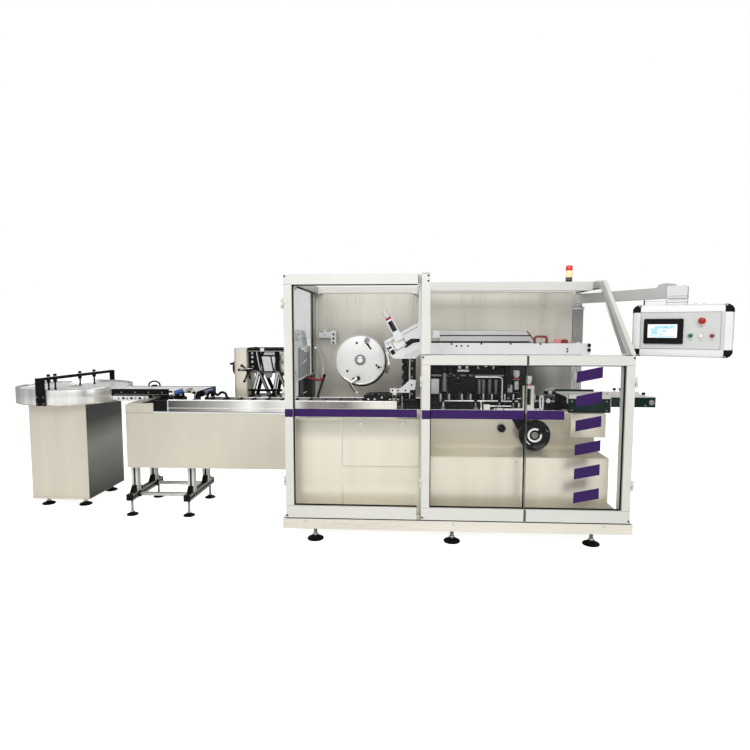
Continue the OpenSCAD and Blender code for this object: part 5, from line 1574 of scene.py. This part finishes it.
for k, x in enumerate((1668, 1694, 1716)):
    outlet.put(rod(6, 56 - 8 * k, 1), "polished_steel", moved(x, 590, 800))
    outlet.put(block(x - 12, x + 18, 578, 606, 840, 862, 3), "roller_white" if k % 2 else "black_plastic")
outlet.put(hose([(1664, 592, 858), (1700, 592, 878), (1745, 580, 874), (1790, 560, 866)], 6, 5, 10),
           "polished_steel")
hook = [(1719, 857), (1729, 876), (1740, 879), (1740, 876), (1733, 872), (1724, 856)]
outlet.put(cut_plate(hook, 12, 0.8), "frame_aluminium", xz_at(238))
for x in (1742, 1952):
    for z in (782, 838):
        outlet.put(screw(5, 3), "dull_steel", towards(x, 240.2, z))
for x in (1992, 2100, 2208):
    outlet.put(screw(5, 3), "dull_steel", towards(x, 300.2, 806))
    outlet.put(screw(5, 3), "dull_steel", towards(x, 559.8, 806, BACK))
outlet.done("machine", "green_enamel")

# %% [markdown]
# ## Handwheel
# With the drive off, this wheel turns the machine over by hand. It is a glossy moulded dish; a bright open
# ring on the hub clamps the shaft, and a folding grip lies in a slot of the dish.

# %% Dish, open ring, grip and the dark wedge plate behind the boss
wheel = Bench("handwheel_dish")
WHEEL = towards(1533, 379.7, 613)
wheel.put(turned([(0, 0), (14, 0), (14, 56), (85, 64), (93, 60), (98, 66), (99, 71), (99, 80), (97, 86),
                  (91, 90), (86, 88), (80, 84), (40, 73), (36, 74), (34, 86), (0, 86)], 72),
          "screen_black", WHEEL)
sweep = [math.radians(62 + 11.2 * k) for k in range(29)]
ring = [polar(46, a) for a in sweep] + [polar(32, a) for a in reversed(sweep)]
wheel.put(cut_plate(ring, 10, 1.5), "polished_steel", WHEEL @ spin(-6) @ level(78))
wheel.put(turned([(0, 85), (22, 85), (20, 88), (9, 88.6), (8, 86.4), (0, 86)], 30), "dull_steel", WHEEL)
arc = [(*polar(64, math.radians(a)), 81) for a in range(172, 246, 6)]
wheel.put(bent_tube(arc, 4.5, 10), "polished_steel", WHEEL)
grip = WHEEL @ spin(20)
wheel.put(block(44, 90, -7, 7, 76, 87, 3), "black_plastic", grip)
wheel.put(rod(6, 12, 1), "dull_steel", grip @ moved(80, 0, 78))
for k in range(36):
    rib = WHEEL @ spin(10 * k)
    wheel.put(block(97.4, 99.6, -2, 2, 70, 82, 0.8), "black_plastic", rib)
wheel.done("handwheel", "black_plastic", ["handwheel"])

# A dark wedge-shaped plate behind the wheel, from the boss up to the left.
wedge = Bench("wheel_dark_wedge")
wedge.put(cut_plate([(1398, 734), (1520, 734), (1520, 640), (1472, 604), (1441, 636), (1410, 692)], 8,
                    1.5), "black_steel", xz_at(391.8))
wedge.put(screw(7, 4), "dull_steel", towards(1478, 392, 712))
wedge.done("machine", "black_steel")

# %% [markdown]
# ## Operator panel
# The control box is a ring of rounded white profile with four black corner blocks, shut by a flat face. The
# face carries a touch screen in a black bezel, three push-buttons and a mushroom emergency stop. The screen
# shows a plain picture of pale blue fields, drawn as thin flat plates on its surface.

# %% Profile rails, corner blocks and face
PANEL = moved(2380, 243, 0) @ spin(-29)
HALF, FRONT, LOW, TOP, END = 265.5, -70, 1115, 1427, 46


def lit(name, low, high, glow_low, glow_high):
    """A lit field of the screen."""
    def build(place, wire):
        glow = place.noise(9.0, 2.0)
        return {"Base Color": glow.blend(low, high), "Roughness": glow * 0.05 + 0.12,
                "Emission Color": glow.blend(glow_low, glow_high)}
    finish(name, build, Emission_Strength=0.2)


lit("screen_blue", (0.30, 0.62, 0.84, 1), (0.46, 0.74, 0.90, 1), (0.25, 0.60, 0.85, 1),
    (0.40, 0.72, 0.92, 1))
lit("screen_white", (0.86, 0.90, 0.92, 1), (0.93, 0.95, 0.96, 1), (0.80, 0.86, 0.90, 1),
    (0.88, 0.92, 0.94, 1))

box = Bench("operator_panel_case")
rail = [(-70, 0), (-64, 12), (-50, 19), (50, 19), (64, 12), (70, 0), (70, -25), (-70, -25)]
for z0, way in ((TOP - 19, 1), (LOW + 19, -1)):
    bar = [(y, z0 + way * z) for y, z in rail]
    box.put(cut_plate(bar, 2 * (HALF - END), 1), "panel_white", PANEL @ yz_at(-HALF + END))
for side in (-1, 1):
    bar = [(side * (HALF - 19 + z), y) for y, z in rail]
    box.put(cut_plate(bar, TOP - LOW - 2 * END, 1), "panel_white", PANEL @ level(LOW + END))
    for z, way in ((TOP, -1), (LOW, 1)):
        corner = [(side * (HALF - 48), z), (side * (HALF - 30), z), (side * (HALF - 12), z + way * 10),
                  (side * (HALF - 1), z + way * 27), (side * HALF, z + way * 47),
                  (side * (HALF - 48), z + way * 47)]
        box.put(cut_plate(corner, 140.6, 5), "black_plastic", PANEL @ xz_at(-70.3))
        box.put(block(*sorted((side * (HALF - 44), side * (HALF - 34))), -71, 71,
                      *sorted((z + way * 4, z + way * 10)), 1), "arm_grey", PANEL)
box.put(block(-HALF + 40, HALF - 40, FRONT + 3, 66, LOW + 20, TOP - 20, 2), "panel_face", PANEL)
for x0, x1, z0, z1 in ((-219, 203, 1380, 1383), (-219, 203, 1163, 1166), (-219, -216, 1163, 1383),
                       (200, 203, 1163, 1383)):
    box.put(block(x0, x1, FRONT + 2.4, FRONT + 3.6, z0, z1, 0.4), "dull_steel", PANEL)
box.blocks(PANEL,
    panel_white=[(-82, 25, -42, 42, 1425, 1464.7, 3), (-205, -84, -44, 44, 1424, 1458, 4)],
    dull_steel=[(-82.6, 25.6, -42.8, 42.8, 1440, 1444, 0.8), (-205.4, -84, -44.6, 44.6, 1449, 1451, 0.6)],
    black_plastic=[(-210, -203, -44, 44, 1424, 1459, 2)])
for x in (70, 112):
    box.put(turned([(0, 0), (9, 0), (10, 2), (10, 8), (6, 10), (0, 10)], 20), "panel_white",
            PANEL @ moved(x, 6, 1426))
for x in (-190, 0, 190):
    for z in (1150, 1392):
        box.put(screw(5, 3), "dull_steel", PANEL @ towards(x, 66, z, BACK))
box.put(cut_plate(rounded(-215, 200, 1160, 1385, 8), 2, 0.8), "panel_face", PANEL @ xz_at(65.4))
box.done("panel", "panel_face", ["panel_enclosure"])

# %% Touch screen and buttons
screen = Bench("touch_screen")
screen.put(cut_plate(rounded(-199, 13, 1193, 1343, 7), 12, 2), "screen_black", PANEL @ xz_at(-79))
screen.put(block(-181, -15, -79.8, -78.4, 1226, 1314, 0.4), "rubber", PANEL)
screen.put(block(-177, -19, -80.2, -79, 1230, 1310, 0.3), "screen_white", PANEL)
for x0, x1, z0, z1 in ((-140, -70, 1284, 1302), (-158, -122, 1248, 1286), (-96, -76, 1262, 1278),
                       (-88, -38, 1284, 1296), (-166, -150, 1236, 1244), (-140, -34, 1234, 1240),
                       (-58, -30, 1296, 1304), (-112, -94, 1246, 1256)):
    screen.put(block(x0, x1, -80.5, -79.6, z0, z1, 0.2), "screen_blue", PANEL)
screen.done("panel", "screen_black", ["panel_screen"])

buttons = Bench("push_buttons")
for x, look in ((51, "green_plastic"), (104, "cream_plastic"), (160, "maroon_plastic")):
    spot = PANEL @ towards(x, -70, 1243)
    buttons.put(turned([(0, 0), (16, 0), (16, 2.5), (14.5, 4), (12.6, 4), (12.6, 2), (0, 2)], 30),
                "polished_steel", spot @ level(-3.2))
    buttons.put(turned([(0, 0), (12, 0), (12, 12), (10.5, 14.5), (6, 15.6), (0, 16)], 28), look, spot)
    buttons.put(block(-5, 5, -71.2, -66.6, -1.2, 1.2, 0.3), "belt_grey", PANEL @ moved(x, 0.8, 1215))
stop = PANEL @ towards(107, -70, 1330)
buttons.put(turned([(0, -3), (24, -3), (24, 0), (22, 2.4), (13, 2.6), (0, 2.6)], 34), "cream_plastic",
            stop)
buttons.put(turned([(0, 0), (11, 0), (11, 12), (18, 13), (20, 16), (20, 22), (17, 27), (9, 29.6),
                    (0, 30)], 34), "red_plastic", stop)
buttons.put(block(-7, 7, -71.2, -66.6, -1.4, 1.4, 0.3), "belt_grey", PANEL @ moved(103, 0.8, 1296))
buttons.done("panel", "button_red", ["panel_buttons"])

# %% [markdown]
# The swing arm is a cast box on a column of slotted profile. A seam runs round the cap, a dark gap parts
# the arm from the box below, and the bearing on the column has a flange with bolts. The lamp has two lenses
# on a ribbed black foot.

# %% Arm seams, column slots and bearing
arm = Bench("swing_arm_trim")
ARM = moved(1994, 1036, 0) @ Matrix.Rotation(math.atan2(243 - 1036, 2380 - 1994), 4, "Z")
for z in (1476, 1531):
    arm.put(block(40, 690, -33.9, 33.9, z, z + 1.4, 0.3), "dull_steel", ARM)
arm.put(block(712, 714, -34.4, 34.4, 1470.4, 1538, 0.5), "dull_steel", ARM)
arm.put(block(-83, 26, -61, 61, 1476, 1479, 0.6), "dull_steel", PANEL)
arm.put(block(-78, 21, -56, 56, 1536.2, 1539.4, 1.5), "arm_grey", PANEL)
for x in (-64, 8):
    for y in (-44, 44):
        arm.put(screw(5, 3), "dull_steel", PANEL @ moved(x, y, 1538.6))
arm.put(turned([(0, 0), (30, 0), (31, 2), (31, 5), (26, 8), (0, 9)], 32), "arm_grey",
        moved(1994, 1036, 1536.4))
arm.done("panel_arm", "arm_grey")

column = Bench("panel_column_trim")
for x in (1958, 2030):
    for y in (1018, 1036, 1054):
        column.put(block(x - 0.6, x + 0.6, y - 3, y + 3, 152, 1430, 0.3), "dull_steel")
for y in (1000, 1072):
    for x in (1976, 1994, 2012):
        column.put(block(x - 3, x + 3, y - 0.6, y + 0.6, 152, 1430, 0.3), "dull_steel")
column.put(block(1952, 2036, 994, 1078, 1424, 1440.2, 3), "arm_grey")
for x in (1960, 2028):
    for y in (1002, 1070):
        column.put(screw(5, 4), "dull_steel", moved(x, y, 1439.8))
for z in (420, 900):
    column.put(block(1966, 2022, 985, 1001, z, z + 60, 2), "arm_grey")
column.done("machine", "arm_grey")

# %% Signal lamp
lamp = Bench("signal_lamp_lenses")
TOWER = moved(1820, 660, 0)
lamp.put(turned([(0, 1600), (23, 1600), (23, 1604), (21, 1606), (21, 1626), (22.4, 1629), (0, 1629)], 36),
         "black_plastic", TOWER)
lamp.put(turned([(0, 1629), (22.4, 1629), (23, 1631), (23, 1672), (22.4, 1674), (0, 1674)], 36),
         "lens_amber", TOWER)
lamp.put(turned([(0, 1674), (22.4, 1674), (23, 1676), (23, 1702), (20, 1708), (10, 1710), (0, 1710)], 36),
         "lens_red", TOWER)
for k in range(18):
    lamp.put(block(20.6, 22, -1.4, 1.4, 1608, 1625, 0.4), "dull_steel", TOWER @ spin(20 * k))
lamp.done("machine", "lamp_lens", ["signal_lamp"])

# %% [markdown]
# ## Size
# The box round every piece that renders is measured; the floor and the soft boxes are left out.

# %% Sizes
low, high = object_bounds()
